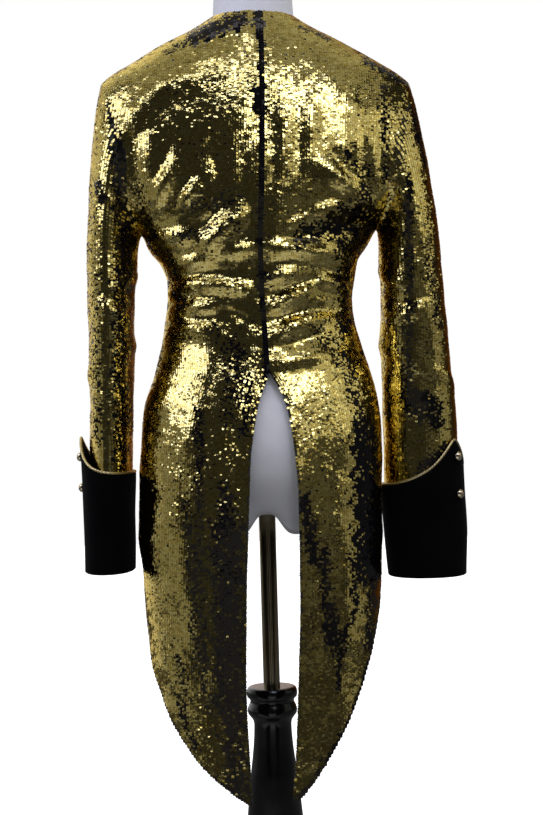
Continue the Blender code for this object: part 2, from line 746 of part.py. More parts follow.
def make_piping(side, material):
    """A round piping that lies along the cuff's top edge."""
    rings = cuff_rings(side)
    top, below = rings[-1], inset_rings(rings, VELVET)[-1]
    middles = [(a + b) / 2 for a, b in zip(top, below)]
    bm = bmesh.new()
    loops = []
    count = len(middles)
    for k, (point, outer, inner) in enumerate(zip(middles, top, below)):
        heading = (middles[(k + 1) % count] - middles[k - 1]).normalized()
        across = (outer - inner).normalized()
        up = heading.cross(across).normalized()
        if up.z < 0:
            up = -up
        centre = Vector((point.x, point.y, outer.z)) + up * (PIPING_RADIUS + SEAT_GAP)
        loop = []
        for j in range(PIPING_SIDES):
            turn = 2 * math.pi * (j + 0.5) / PIPING_SIDES - math.pi / 2
            reach = across * math.cos(turn) + up * math.sin(turn)
            loop.append(bm.verts.new(centre + reach * PIPING_RADIUS))
        loops.append(loop)
    for k in range(count):
        this, after = loops[k], loops[(k + 1) % count]
        for j in range(PIPING_SIDES):
            beside = (j + 1) % PIPING_SIDES
            bm.faces.new((this[j], this[beside], after[beside], after[j]))
    return add_object("cuff_piping_left" if side < 0 else "cuff_piping_right", bm, material)


def make_button(name, side, z, cuff, material):
    """A ball button seated on the cuff's outer face below its peak."""
    tree = BVHTree.FromPolygons(
        [vertex.co for vertex in cuff.data.vertices],
        [face.vertices for face in cuff.data.polygons],
    )
    turn = CUFF_CUTS[side].button_turn
    low = cuff_bottom(side)
    rise = (z - low) / (cuff_top(side, turn) - low)
    half_step = math.pi / SLEEVE_SIDES
    aim = (cuff_point(side, turn, rise) + cuff_point(side, turn - 2 * half_step, rise)) / 2
    seat, normal, _, _ = tree.find_nearest(aim)
    centre = Vector((side * read_row(CUFFS[side], z, "x"), read_row(CUFFS[side], z, "y"), z))
    if normal.dot(aim - centre) < 0:
        normal = -normal
    profile = (
        (0.45 * BUTTON_RADIUS, 0.0),
        (0.84 * BUTTON_RADIUS, 0.12 * BUTTON_HEIGHT),
        (BUTTON_RADIUS, 0.40 * BUTTON_HEIGHT),
        (0.86 * BUTTON_RADIUS, 0.73 * BUTTON_HEIGHT),
        (0.52 * BUTTON_RADIUS, 0.93 * BUTTON_HEIGHT),
    )
    across = normal.orthogonal().normalized()
    beside = normal.cross(across)
    bm = bmesh.new()
    foot = seat + normal * SEAT_GAP
    loops = []
    for radius, height in profile:
        loop = []
        for k in range(BUTTON_SIDES):
            spin = 2 * math.pi * k / BUTTON_SIDES
            reach = across * math.cos(spin) + beside * math.sin(spin)
            loop.append(bm.verts.new(foot + reach * radius + normal * height))
        loops.append(loop)
    join_loops(bm, loops, foot, foot + normal * BUTTON_HEIGHT)
    return add_object(name, bm, material)


def join_loops(bm, loops, first_centre, last_centre):
    """Faces between loops of vertices, with a fan over each end."""
    count = len(loops[0])
    for low, high in zip(loops, loops[1:]):
        for k in range(count):
            after = (k + 1) % count
            bm.faces.new((low[k], low[after], high[after], high[k]))
    for loop, centre in ((loops[0], first_centre), (loops[-1], last_centre)):
        hub = bm.verts.new(centre)
        for k in range(count):
            bm.faces.new((loop[k], loop[(k + 1) % count], hub))


def turned(name, profile, sides, material, first_z, last_z):
    """A solid turned about the Z axis from its profile's (radius, z) pairs."""
    bm = bmesh.new()
    loops = []
    for radius, z in profile:
        spins = [2 * math.pi * k / sides for k in range(sides)]
        loops.append([bm.verts.new((radius * math.cos(a), radius * math.sin(a), z)) for a in spins])
    join_loops(bm, loops, Vector((0, 0, first_z)), Vector((0, 0, last_z)))
    return add_object(name, bm, material)


def form_ring(z, scale=1.0):
    """A ring of the dress form."""
    half, back, front = (read_row(FORM, z, name) for name in ("half", "back", "front"))
    ring = []
    for k in range(FORM_SIDES):
        turn = 2 * math.pi * (k + 0.5) / FORM_SIDES
        across, along = math.cos(turn), math.sin(turn)
        depth = back if along < 0 else front
        radius = square_reach(across / half, along / depth, FORM_SQUARE)
        x = radius * across * scale
        drop = SHOULDER_DROP * x * ease(z, UNDERARM_Z, SHOULDER_TIP_Z)
        ring.append(Vector((x, radius * along * scale, z - drop)))
    return ring


def form_arch(ring):
    """Lifts the form's lowest points at its middle: two rounded lobes with an arch between them."""
    for point in ring:
        above = max(0.0, point.z - FORM[-1].z)
        arch = math.exp(-(abs(point.x / FORM_ARCH_WIDTH) ** 3) - above / FORM_ARCH_RISE)
        point.z += (FORM_ARCH_Z - min(point.z, FORM[-1].z)) * arch
    return ring


def round_ring(radius, z):
    """A round ring about the Z axis, with as many points as the form's rings."""
    spins = [2 * math.pi * (k + 0.5) / FORM_SIDES for k in range(FORM_SIDES)]
    return [Vector((radius * math.cos(spin), radius * math.sin(spin), z)) for spin in spins]


def make_form(material):
    """The dress form: a neck stump, shoulders, waist and hips, hollowed below for its pole."""
    rings = [form_ring(row.z, row.scale) for row in NECK_CAP]
    for stretch in FORM_STRETCHES:
        rings += [form_arch(form_ring(z)) for z in even(stretch.top_z, stretch.bottom_z, stretch.steps)]
    for row in FORM_UNDERSIDE:
        ring = form_ring(FORM[-1].z, row.scale)
        for point in ring:
            point.z += (FORM_LOBE_Z - point.z) * row.tuck
        rings.append(form_arch(ring))
    bore = POLE_RADIUS + BORE_CLEARANCE
    bore_top = POLE_TOP_Z + BORE_CLEARANCE
    rings += [
        round_ring(bore + BORE_EDGE, FORM_ARCH_Z),
        round_ring(bore, FORM_ARCH_Z + BORE_CLEARANCE),
        round_ring(bore, bore_top),
    ]
    bm = bmesh.new()
    loops = [[bm.verts.new(point) for point in ring] for ring in rings]
    join_loops(bm, loops, Vector((0, 0, FORM[0].z)), Vector((0, 0, bore_top)))
    return add_object("dress_form", bm, material)


def make_stand(brass, lacquer):
    """The pole, the turned column that holds it and the round base."""
    pole_radius = POLE_RADIUS / math.cos(math.pi / FORM_SIDES) - BORE_CLEARANCE
    pole = [(pole_radius, POLE_FOOT_Z), (pole_radius, POLE_TOP_Z)]
    turned("stand_pole", pole, FORM_SIDES, brass, POLE_FOOT_Z, POLE_TOP_Z)
    socket = POLE_RADIUS + 2 * BORE_CLEARANCE
    socket_z = POLE_FOOT_Z - BORE_CLEARANCE
    column = [(socket, socket_z), (socket, COLUMN[0].z - 0.0005)]
    column += [(row.radius, row.z) for row in COLUMN]
    turned("stand_column", column, TURNED_SIDES, lacquer, socket_z, COLUMN[-1].z)
    base = [
        (BASE_RADIUS - BASE_EDGE, 0.0),
        (BASE_RADIUS, BASE_EDGE),
        (BASE_RADIUS, BASE_HEIGHT - 2 * BASE_EDGE),
        (BASE_RADIUS - BASE_EDGE, BASE_HEIGHT - BASE_EDGE),
        (BASE_RADIUS - 3 * BASE_EDGE, BASE_HEIGHT - BASE_EDGE / 2),
        (COLUMN[-1].radius + 2 * BASE_EDGE, BASE_HEIGHT),
    ]
    turned("stand_base", base, BASE_SIDES, lacquer, 0.0, BASE_HEIGHT)


def build():
    """Makes the form and its stand, then each half of the coat with its sleeve and cuff."""
    clear_scene()
    gold = finish("gold_sequins", (0.62, 0.43, 0.10), 0.22, 0.9)
    velvet = finish("black_velvet", (0.006, 0.006, 0.007), 0.9)
    cord = finish("gold_piping", (0.72, 0.52, 0.16), 0.3, 0.9)
    steel = finish("polished_button", (0.80, 0.74, 0.60), 0.12, 1.0)
    jersey = finish("white_jersey", (0.80, 0.80, 0.80), 0.85)
    brass = finish("brass_pole", (0.55, 0.46, 0.28), 0.25, 1.0)
    lacquer = finish("black_lacquer", (0.008, 0.008, 0.009), 0.12)
    make_form(jersey)
    make_stand(brass, lacquer)
    for side, word in ((-1, "left"), (1, "right")):
        make_back(side, gold)
        make_front(side, gold)
        make_sleeve(side, gold)
        cuff = make_cuff(side, velvet)
        make_piping(side, cord)
        cut = CUFF_CUTS[side]
        make_button(f"cuff_button_upper_{word}", side, cut.upper_button_z, cuff, steel)
        make_button(f"cuff_button_lower_{word}", side, cut.lower_button_z, cuff, steel)


build()
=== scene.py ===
import math
from collections import namedtuple

import bmesh
import bpy
import numpy as np
from mathutils import Matrix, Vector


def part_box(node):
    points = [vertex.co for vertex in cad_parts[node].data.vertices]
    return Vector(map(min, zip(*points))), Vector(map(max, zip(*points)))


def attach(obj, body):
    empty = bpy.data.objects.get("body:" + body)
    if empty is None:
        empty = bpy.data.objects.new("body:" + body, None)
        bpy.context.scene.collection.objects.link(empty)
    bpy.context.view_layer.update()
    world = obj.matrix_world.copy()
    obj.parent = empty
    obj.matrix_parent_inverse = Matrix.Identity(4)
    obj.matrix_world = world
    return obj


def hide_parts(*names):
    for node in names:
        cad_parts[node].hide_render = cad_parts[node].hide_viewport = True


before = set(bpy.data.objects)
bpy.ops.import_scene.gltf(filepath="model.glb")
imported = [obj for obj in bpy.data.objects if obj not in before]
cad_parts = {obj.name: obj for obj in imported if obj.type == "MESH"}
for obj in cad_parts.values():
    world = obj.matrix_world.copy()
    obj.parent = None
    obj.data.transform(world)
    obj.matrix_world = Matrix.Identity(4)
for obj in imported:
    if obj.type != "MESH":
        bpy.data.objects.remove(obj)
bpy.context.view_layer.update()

SIDES = ((-1, "left"), (1, "right"))

# Camera and studio. The camera stands two metres behind the wearer at waist height, as in the
# photograph. White surroundings give the plain backdrop, and soft boxes of an unlike size and
# brightness stand round the coat, because a mirror cloth shows what it faces.
CAMERA_PLACE = (0.0097, -1.985, 0.958)
CAMERA_ROLL = math.radians(-1.6)
LENS_MM, FRAME_HEIGHT_MM = 67.45, 36.0

camera_data = bpy.data.cameras.new("photo_camera")
camera_data.lens = LENS_MM
camera_data.sensor_fit = "VERTICAL"
camera_data.sensor_height = FRAME_HEIGHT_MM
camera = bpy.data.objects.new("photo_camera", camera_data)
bpy.context.scene.collection.objects.link(camera)
upright = Matrix.Rotation(math.pi / 2, 4, "X") @ Matrix.Rotation(CAMERA_ROLL, 4, "Z")
camera.matrix_world = Matrix.Translation(CAMERA_PLACE) @ upright
bpy.context.scene.camera = camera
bpy.context.scene.view_settings.view_transform = "Standard"


def set_inputs(node, values):
    """Sets or links a node's inputs, by name or number. A node stands for its first output."""
    for name, value in values.items():
        if isinstance(value, bpy.types.Node):
            value = value.outputs[0]
        if isinstance(value, bpy.types.NodeSocket):
            node.id_data.links.new(value, node.inputs[name])
        else:
            node.inputs[name].default_value = value


def add_node(tree, kind, values=None, **settings):
    """A node with its settings and its inputs."""
    made = tree.nodes.new(kind)
    for name, value in settings.items():
        setattr(made, name, value)
    set_inputs(made, values or {})
    return made


def mix_colours(tree, factor, first, second):
    """The output of a node that mixes two colours."""
    return add_node(tree, "ShaderNodeMix", {0: factor, 6: first, 7: second}, data_type="RGBA").outputs[2]


def calculate(tree, operation, *values):
    """A Math node on its values."""
    return add_node(tree, "ShaderNodeMath", dict(enumerate(values)), operation=operation)


def calculate_vector(tree, operation, *values):
    """A Vector Math node on its values."""
    return add_node(tree, "ShaderNodeVectorMath", dict(enumerate(values)), operation=operation)


def carry_over(tree, value, span=(0.0, 1.0), wanted=(0.0, 1.0), way="LINEAR"):
    """A Map Range node that carries one span of values over to another."""
    ends = {"From Min": span[0], "From Max": span[1], "To Min": wanted[0], "To Max": wanted[1]}
    return add_node(tree, "ShaderNodeMapRange", {"Value": value, **ends}, interpolation_type=way)


def rows_of(columns, *rows):
    """A table's rows under the names of its columns."""
    kind = namedtuple("Row", columns)
    return tuple(kind(*row) for row in rows)


WHITE = (1.0, 1.0, 1.0, 1.0)
# The way from the coat to the lit paper behind it on the left, which the cloth mirrors brightly
PAPER_WAY, PAPER_SPAN, PAPER_LIGHT = (-0.54, 0.78, 0.32), (0.58, 0.97), 0.75
# The amber wall straight behind, in shares of the way to it
WALL_SPAN, WALL_LIGHT = (0.66, 0.96), (0.030, 0.12)
AMBER_SPAN, AMBER = (0.3, 0.85), (1.0, 0.38, 0.06, 1.0)
SKY_SPAN, SKY_LIGHT, SKY_COLOUR = (0.1, 0.85), (0.03, 1.05), (0.97, 0.97, 1.0, 1.0)

world = bpy.data.worlds.new("studio")
world.use_nodes = True
tree = world.node_tree
tree.nodes.clear()
path = add_node(tree, "ShaderNodeLightPath").outputs
direction = add_node(tree, "ShaderNodeTexCoord").outputs["Generated"]
axes = add_node(tree, "ShaderNodeSeparateXYZ", {"Vector": direction}).outputs
wall = carry_over(tree, axes["Y"], WALL_SPAN, WALL_LIGHT, "SMOOTHSTEP")
amber = mix_colours(tree, carry_over(tree, axes["Y"], AMBER_SPAN), WHITE, AMBER)
toward_paper = calculate_vector(tree, "DOT_PRODUCT", direction, PAPER_WAY).outputs["Value"]
paper = carry_over(tree, toward_paper, PAPER_SPAN, way="SMOOTHSTEP")
room_colour = mix_colours(tree, paper, amber, WHITE)
room_light = calculate(tree, "MULTIPLY_ADD", paper, PAPER_LIGHT, wall)
mirrored = add_node(tree, "ShaderNodeBackground", {"Color": room_colour, "Strength": room_light})
seen = add_node(tree, "ShaderNodeBackground", {"Color": WHITE, "Strength": 1.0})
sky = carry_over(tree, axes["Z"], SKY_SPAN, SKY_LIGHT)
diffuse = add_node(tree, "ShaderNodeBackground", {"Color": SKY_COLOUR, "Strength": sky})
lit = add_node(tree, "ShaderNodeMixShader", {0: path["Is Diffuse Ray"], 1: mirrored, 2: diffuse})
shown = add_node(tree, "ShaderNodeMixShader", {0: path["Is Camera Ray"], 1: lit, 2: seen})
add_node(tree, "ShaderNodeOutputWorld", {"Surface": shown})
bpy.context.scene.world = world

SOFT_BOXES = rows_of(
    "name azimuth elevation distance width height radiance",
    ("box_right_high", 18, 48, 2.4, 0.84, 0.86, 3.2),
    ("box_right_wide", 34, 39, 2.5, 2.20, 1.05, 0.62),
    ("box_right_side", 84, 31, 2.4, 2.30, 0.92, 0.62),
    ("box_right_foot", 82, 4, 2.3, 1.80, 0.90, 0.20),
    ("box_right_low", 32, 12, 2.3, 1.50, 0.90, 0.05),
    ("box_left_high", -71, 39, 2.3, 1.30, 0.98, 2.4),
    ("box_left_wall", -76, 8, 2.2, 1.8, 1.5, 0.20),
    ("box_upper_band", -18, 61, 2.4, 1.55, 0.34, 2.6),
    ("box_overhead", 0, 86, 2.2, 3.0, 1.7, 0.36),
    ("box_back_high", 180, 58, 2.4, 3.0, 1.5, 0.36),
)
KEY_COLOUR, FILL_COLOUR, KEY_RADIANCE = (0.92, 0.97, 1.34), (1.0, 0.98, 0.86), 1
COAT_MIDDLE = np.array((0.0, 0.0, 1.05))
for box in SOFT_BOXES:
    swing, lift = math.radians(box.azimuth), math.radians(box.elevation)
    away = np.array((math.sin(swing) * math.cos(lift), -math.cos(swing) * math.cos(lift), math.sin(lift)))
    lamp = bpy.data.lights.new(box.name, "AREA")
    lamp.shape = "RECTANGLE"
    lamp.color = KEY_COLOUR if box.radiance > KEY_RADIANCE else FILL_COLOUR
    lamp.size, lamp.size_y = box.width, box.height
    lamp.energy = box.radiance * math.pi * box.width * box.height
    stand = bpy.data.objects.new(box.name, lamp)
    turn = Matrix.Rotation(swing, 4, "Z") @ Matrix.Rotation(math.pi / 2 - lift, 4, "X")
    stand.matrix_world = Matrix.Translation(COAT_MIDDLE + away * box.distance) @ turn
    stand.visible_camera = False
    bpy.context.scene.collection.objects.link(stand)


def start_material(name, finish):
    """A new material with its Principled shader's plain values, its tree and the shader."""
    material = bpy.data.materials.new(name)
    material.use_nodes = True
    shader = material.node_tree.nodes["Principled BSDF"]
    set_inputs(shader, finish)
    return material, material.node_tree, shader


def add_mesh(name, points, faces, material, smooth=True):
    """An object at the origin from points and faces, with its place in its mesh."""
    mesh = bpy.data.meshes.new(name)
    mesh.from_pydata([tuple(p) for p in points], [], [tuple(f) for f in faces])
    mesh.validate()
    if smooth:
        mesh.shade_smooth()
    mesh.materials.append(material)
    item = bpy.data.objects.new(name, mesh)
    bpy.context.scene.collection.objects.link(item)
    return item


# Floor. A plain pale board, seen white. What the coat mirrors of it is a painted dim copy of the
# board, with a painted pool of light glowing on it in front of the camera.
FLOOR_REACH = 9.0
FLOOR_PALE, FLOOR_DIM, FLOOR_GLOW = (0.93, 0.93, 0.93, 1), (0.10, 0.10, 0.10, 1), 0.76
PATCH_PLACE, PATCH_SPAN, PATCH_LIGHT = (-0.50, -1.95, 0.0), (1.1, 2.0), (0.36, 0.0)
floor_material, tree, floor_shader = start_material("pale_floor", {"Base Color": FLOOR_PALE})
unevenness = add_node(tree, "ShaderNodeTexNoise", {"Scale": 6.0, "Detail": 3.0})
set_inputs(floor_shader, {"Roughness": carry_over(tree, unevenness, wanted=(0.70, 0.82))})
glow = add_node(tree, "ShaderNodeEmission", {"Strength": FLOOR_GLOW})
bright = add_node(tree, "ShaderNodeAddShader", {0: floor_shader, 1: glow})
place = add_node(tree, "ShaderNodeTexCoord").outputs["Object"]
from_patch = calculate_vector(tree, "DISTANCE", place, PATCH_PLACE).outputs["Value"]
# Painted pool of light: the floor glows round this place in what the coat mirrors.
patch_glow = carry_over(tree, from_patch, PATCH_SPAN, PATCH_LIGHT, "SMOOTHSTEP")
painted_light_patch = add_node(tree, "ShaderNodeEmission", {"Strength": patch_glow})
# Painted shade: a dim copy of the board for every ray but the camera's.
painted_dim_board = add_node(tree, "ShaderNodeBsdfDiffuse", {"Color": FLOOR_DIM})
dim = add_node(tree, "ShaderNodeAddShader", {0: painted_dim_board, 1: painted_light_patch})
looked_at = add_node(tree, "ShaderNodeLightPath").outputs["Is Camera Ray"]
floor_seen = add_node(tree, "ShaderNodeMixShader", {0: looked_at, 1: dim, 2: bright})
set_inputs(tree.nodes["Material Output"], {"Surface": floor_seen})
floor_corners = [(x * FLOOR_REACH, y * FLOOR_REACH, 0) for x, y in ((-1, -1), (1, -1), (1, 1), (-1, 1))]
floor = add_mesh("floor", floor_corners, [(0, 1, 2, 3)], floor_material)

# Turned stand. The base and the column are wood turned on a lathe and sprayed with black gloss
# lacquer, screwed together from below. Each keeps its solid's profile, with its edges rounded.
PROFILE = "z radius"
COLUMN = rows_of(
    PROFILE,
    (0.596, 0.0118), (0.5962, 0.027), (0.5957, 0.0298), (0.5942, 0.0315), (0.5915, 0.0326),
    (0.587, 0.0329), (0.5835, 0.0323), (0.5815, 0.0304), (0.58, 0.0288), (0.5775, 0.0284),
    (0.5755, 0.0287), (0.5735, 0.03), (0.568, 0.032), (0.565, 0.0323), (0.5615, 0.0314), (0.556, 0.0272),
    (0.552, 0.025), (0.548, 0.0243), (0.53, 0.025), (0.511, 0.0268), (0.478, 0.0309), (0.446, 0.0344),
    (0.4, 0.038), (0.33, 0.04), (0.25, 0.038), (0.17, 0.031), (0.115, 0.0247), (0.102, 0.0238),
    (0.095, 0.0244), (0.0905, 0.03), (0.087, 0.0333), (0.082, 0.0346), (0.0765, 0.0342), (0.072, 0.0318),
    (0.069, 0.0304), (0.062, 0.033), (0.05, 0.042), (0.039, 0.05), (0.031, 0.056), (0.0304, 0.0545),
    (0.0304, 0.0118),
)
BASE = rows_of(
    PROFILE,
    (0.0, 0.01), (0.0, 0.1775), (0.0008, 0.1805), (0.003, 0.1835), (0.0062, 0.1848), (0.012, 0.185),
    (0.017, 0.1848), (0.02, 0.1838), (0.0228, 0.1812), (0.024, 0.178), (0.0248, 0.174), (0.0272, 0.166),
    (0.029, 0.14), (0.0298, 0.1), (0.03, 0.068), (0.03, 0.01),
)
TURNED_SIDES = 96
LATHE_STEP, LATHE_MOST = 0.003, 16
TURNED_EDGE = math.radians(50)


def smooth_profile(rows):
    """Radius and height pairs on a smooth curve through a profile's rows."""
    path = np.array([(row.radius, row.z) for row in rows])
    dense = [path[0]]
    for k in range(len(path) - 1):
        before, after = path[max(k - 1, 0)], path[min(k + 2, len(path) - 1)]
        start, end = path[k], path[k + 1]
        length = np.linalg.norm(end - start)
        come, go = np.linalg.norm(start - before), np.linalg.norm(after - end)
        lead = (end - before) * length / max(length + come, 1e-9)
        tail = (after - start) * length / max(go + length, 1e-9)
        count = max(1, min(LATHE_MOST, round(length / LATHE_STEP)))
        for t in np.arange(1, count + 1) / count:
            near = (1 + 2 * t) * (1 - t) ** 2 * start + t * (1 - t) ** 2 * lead
            far = t * t * (3 - 2 * t) * end + t * t * (t - 1) * tail
            dense.append(near + far)
    return np.array(dense)


def full_turn(count):
    """Angles evenly spaced round a full turn."""
    return 2 * np.pi * np.arange(count) / count


def level_ring(radius, z, count):
    """Points round the Z axis at one height, for one radius or one for each point."""
    spins = full_turn(count)
    return np.c_[radius * np.cos(spins), radius * np.sin(spins), np.full(count, z)]


def grid_faces(rows, columns, rows_meet=False, columns_meet=False):
    """Faces between a grid's points, whose last row or column may meet its first."""
    row, column = np.mgrid[: rows - (not rows_meet), : columns - (not columns_meet)].reshape(2, -1)
    start, after, beside = row * columns, (row + 1) % rows * columns, (column + 1) % columns
    return np.c_[start + column, start + beside, after + beside, after + column].tolist()


def turn_on_lathe(name, profile, material):
    """A closed solid turned about the Z axis from (radius, z) pairs."""
    sides = TURNED_SIDES
    rings = [level_ring(radius, z, sides) for radius, z in profile]
    points = np.concatenate(rings + [[(0, 0, profile[0][1]), (0, 0, profile[-1][1])]])
    faces = grid_faces(len(profile), sides, columns_meet=True)
    first, last = len(points) - 2, len(points) - 1
    rise = (len(profile) - 1) * sides
    faces += [(k, first, (k + 1) % sides) for k in range(sides)]
    faces += [(rise + (k + 1) % sides, last, rise + k) for k in range(sides)]
    if profile[-1][1] < profile[0][1]:
        faces = [face[::-1] for face in faces]
    item = add_mesh(name, points, faces, material)
    item.data.set_sharp_from_angle(angle=TURNED_EDGE)
    return item


def new_group(name, inputs, outputs):
    """A shader node group with named float sockets: its tree, what it is given and its end."""
    group = bpy.data.node_groups.new(name, "ShaderNodeTree")
    for label, value in inputs.items():
        socket = group.interface.new_socket(label, in_out="INPUT", socket_type="NodeSocketFloat")
        socket.default_value = value
    for label in outputs:
        group.interface.new_socket(label, in_out="OUTPUT", socket_type="NodeSocketFloat")
    return group, group.nodes.new("NodeGroupInput").outputs, group.nodes.new("NodeGroupOutput")


def object_noise(tree, scale, detail, **more):
    """Noise that stays on a piece, from its Object coordinates."""
    place = add_node(tree, "ShaderNodeTexCoord").outputs["Object"]
    values = {"Vector": place, "Scale": scale, "Detail": detail, **more}
    return add_node(tree, "ShaderNodeTexNoise", values)


def add_bump(tree, height, distance, strength, **more):
    """A Bump node."""
    values = {"Height": height, "Distance": distance, "Strength": strength, **more}
    return add_node(tree, "ShaderNodeBump", values)


handled, given, result = new_group("handled_surface", {"Size": 40.0}, ("Mark", "Height"))
smears = object_noise(handled, given["Size"], 4.0, Roughness=0.6)
specks = object_noise(handled, 900.0, 1.0)
mark, height = carry_over(handled, smears, (0.42, 0.66)), calculate(handled, "ADD", smears, specks)
set_inputs(result, {"Mark": mark, "Height": height})


def add_handling(tree, shader, size, rough, worn, rise):
    """Smears and fine specks of use on a hard surface: its roughness and a faint bump."""
    use = add_node(tree, "ShaderNodeGroup", {"Size": size}, node_tree=handled).outputs
    rub = carry_over(tree, use["Mark"], wanted=(rough, worn))
    set_inputs(shader, {"Roughness": rub, "Normal": add_bump(tree, use["Height"], rise, 0.5)})


def finish_piece(item, slot_name, *nodes):
    """Fixes a finished piece to the object, in place of its solids if it stands for any."""
    if nodes:
        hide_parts(*nodes)
    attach(item, "root")


lacquer, tree, shader = start_material(
    "black_gloss_lacquer",
    {"Base Color": (0.0030, 0.0030, 0.0035, 1), "Coat Weight": 0.3, "Coat Roughness": 0.06},
)
add_handling(tree, shader, 30.0, 0.14, 0.26, 0.0002)
for name, rows, node in (("turned_column", COLUMN, "stand_column"), ("round_base", BASE, "stand_base")):
    finish_piece(turn_on_lathe(name, smooth_profile(rows), lacquer), "black_lacquer", node)

# Pole. A brushed brass tube, rolled and seamed, so a dark line runs down the side that shows. It
# stands in the column's socket and carries the form.
POLE_RADIUS, POLE_SKIN = 0.0110, 0.00025
POLE_FOOT_Z, POLE_TOP_Z = 0.560, 0.860
POLE_EDGE, POLE_END = 0.0006, 0.01
SEAM_HALF, SEAM_DEPTH, SEAM_TURN = 0.0011, 0.0007, math.radians(-86)
POLE_SIDES, POLE_LEVELS = 144, 12
BRASS_BRIGHT, BRASS_DULL = (0.42, 0.36, 0.23, 1), (0.33, 0.26, 0.13, 1)

brass, tree, shader = start_material("brushed_brass_tube", {"Metallic": 1.0})
place = add_node(tree, "ShaderNodeTexCoord").outputs["Object"]
drawn = add_node(tree, "ShaderNodeMapping", {"Vector": place, "Scale": (900, 900, 9)})
hairs = add_node(tree, "ShaderNodeTexNoise", {"Vector": drawn, "Scale": 1.0, "Detail": 3.0})
tarnish = carry_over(tree, object_noise(tree, 28.0, 4.0), (0.45, 0.7))
brass_colour = mix_colours(tree, tarnish, BRASS_BRIGHT, BRASS_DULL)
brass_rough = carry_over(tree, hairs, wanted=(0.20, 0.38))
set_inputs(shader, {"Base Color": brass_colour, "Roughness": brass_rough})

swings = np.abs(np.angle(np.exp(1j * (full_turn(POLE_SIDES) - SEAM_TURN)))) * POLE_RADIUS
dents = SEAM_DEPTH * np.clip(1.6 - swings / SEAM_HALF, 0, 1)
levels = [(POLE_FOOT_Z, POLE_EDGE), (POLE_FOOT_Z + POLE_EDGE, 0.0)]
levels += [(z, 0.0) for z in np.linspace(POLE_FOOT_Z + POLE_END, POLE_TOP_Z - POLE_END, POLE_LEVELS)]
levels += [(POLE_TOP_Z - POLE_EDGE, 0.0), (POLE_TOP_Z, POLE_EDGE)]
rings = [level_ring(POLE_RADIUS - POLE_SKIN - inset - dents, z, POLE_SIDES) for z, inset in levels]
top = (len(levels) - 1) * POLE_SIDES
faces = grid_faces(len(levels), POLE_SIDES, columns_meet=True)
faces += [tuple(range(POLE_SIDES))[::-1], tuple(range(top, top + POLE_SIDES))]
pole = add_mesh("brass_pole", np.concatenate(rings), faces, brass)
pole.data.set_sharp_from_angle(angle=math.radians(35))
finish_piece(pole, "pole_brass", "stand_pole")

# Dress form. A hollow shell pulled over with white stretch jersey, sewn at the sides, smooth and
# without limbs, with a neck stump and a rounded underside that the pole enters.
FORM = rows_of(
    "z half back front",
    (1.53, 0.05, 0.05, 0.05), (1.49, 0.0512, 0.0512, 0.045), (1.459, 0.053, 0.053, 0.043),
    (1.4465, 0.0705, 0.0598, 0.0484), (1.4365, 0.0887, 0.0643, 0.0544), (1.4265, 0.1092, 0.0688, 0.0594),
    (1.4155, 0.1296, 0.0728, 0.0644), (1.4035, 0.148, 0.0768, 0.0694), (1.385, 0.162, 0.08, 0.076),
    (1.36, 0.168, 0.084, 0.084), (1.31, 0.164, 0.089, 0.098), (1.25, 0.152, 0.09, 0.112),
    (1.2, 0.14, 0.087, 0.114), (1.15, 0.119, 0.081, 0.106), (1.1, 0.106, 0.073, 0.093),
    (1.05, 0.113, 0.073, 0.093), (1.0, 0.129, 0.085, 0.099), (0.94, 0.14, 0.0985, 0.105),
    (0.915, 0.141, 0.0995, 0.105), (0.88, 0.142, 0.094, 0.105), (0.835, 0.14, 0.0755, 0.102),
    (0.807, 0.133, 0.064, 0.096),
)
FORM_SIDES = 132
FORM_SQUARE = 2.1
FORM_ARCH_Z, FORM_LOBE_Z, FORM_ARCH_WIDTH = 0.8235, 0.7965, 0.0205
UNDERARM_Z, SHOULDER_TIP_Z, SHOULDER_DROP = 1.185, 1.378, 0.022
FORM_SEAM_HALF, FORM_SEAM_DEPTH = 0.0014, 0.0005
FORM_ARCH_FADE = 0.020
SOCKET_GAP, SOCKET_LIP, SOCKET_RISE = 0.0004, 0.003, 0.0006


def read_rows(rows, z, name):
    """A table's values at heights z, on a smooth curve that never overshoots its rows."""
    heights = np.array([row.z for row in rows])[::-1]
    values = np.array([getattr(row, name) for row in rows])[::-1]
    steps = np.diff(values) / np.diff(heights)
    slopes = np.concatenate((steps[:1], np.zeros(len(rows) - 2), steps[-1:]))
    below, above = steps[:-1], steps[1:]
    kept = below * above > 0
    slopes[1:-1][kept] = 2 * below[kept] * above[kept] / (below[kept] + above[kept])
    z = np.clip(z, heights[0], heights[-1])
    at = np.clip(np.searchsorted(heights, z, side="right") - 1, 0, len(rows) - 2)
    span = heights[at + 1] - heights[at]
    t = (z - heights[at]) / span
    start = (1 + 2 * t) * (1 - t) ** 2 * values[at] + t * (1 - t) ** 2 * span * slopes[at]
    return start + t * t * (3 - 2 * t) * values[at + 1] + t * t * (t - 1) * span * slopes[at + 1]


def ease(value, low, high):
    """0 below low, 1 above high and a soft step between."""
    t = np.clip((value - low) / (high - low), 0, 1)
    return t * t * (3 - 2 * t)


def square_reach(across, along, power):
    """How far a rounded-square section of that power reaches in a scaled direction."""
    return (np.abs(across) ** power + np.abs(along) ** power) ** (-1 / power)


def form_ring(z, scale=1.0):
    """A ring of the dress form, with a faint groove where its cover is sewn at the sides."""
    turn = full_turn(FORM_SIDES)
    across, along = np.cos(turn), np.sin(turn)
    depth = np.where(along < 0, read_rows(FORM, z, "back"), read_rows(FORM, z, "front"))
    reach = square_reach(across / read_rows(FORM, z, "half"), along / depth, FORM_SQUARE)
    reach = reach - FORM_SEAM_DEPTH * np.exp(-((reach * along / FORM_SEAM_HALF) ** 2))
    x = reach * across * scale
    drop = SHOULDER_DROP * x * ease(z, UNDERARM_Z, SHOULDER_TIP_Z)
    return np.c_[x, reach * along * scale, z - drop]


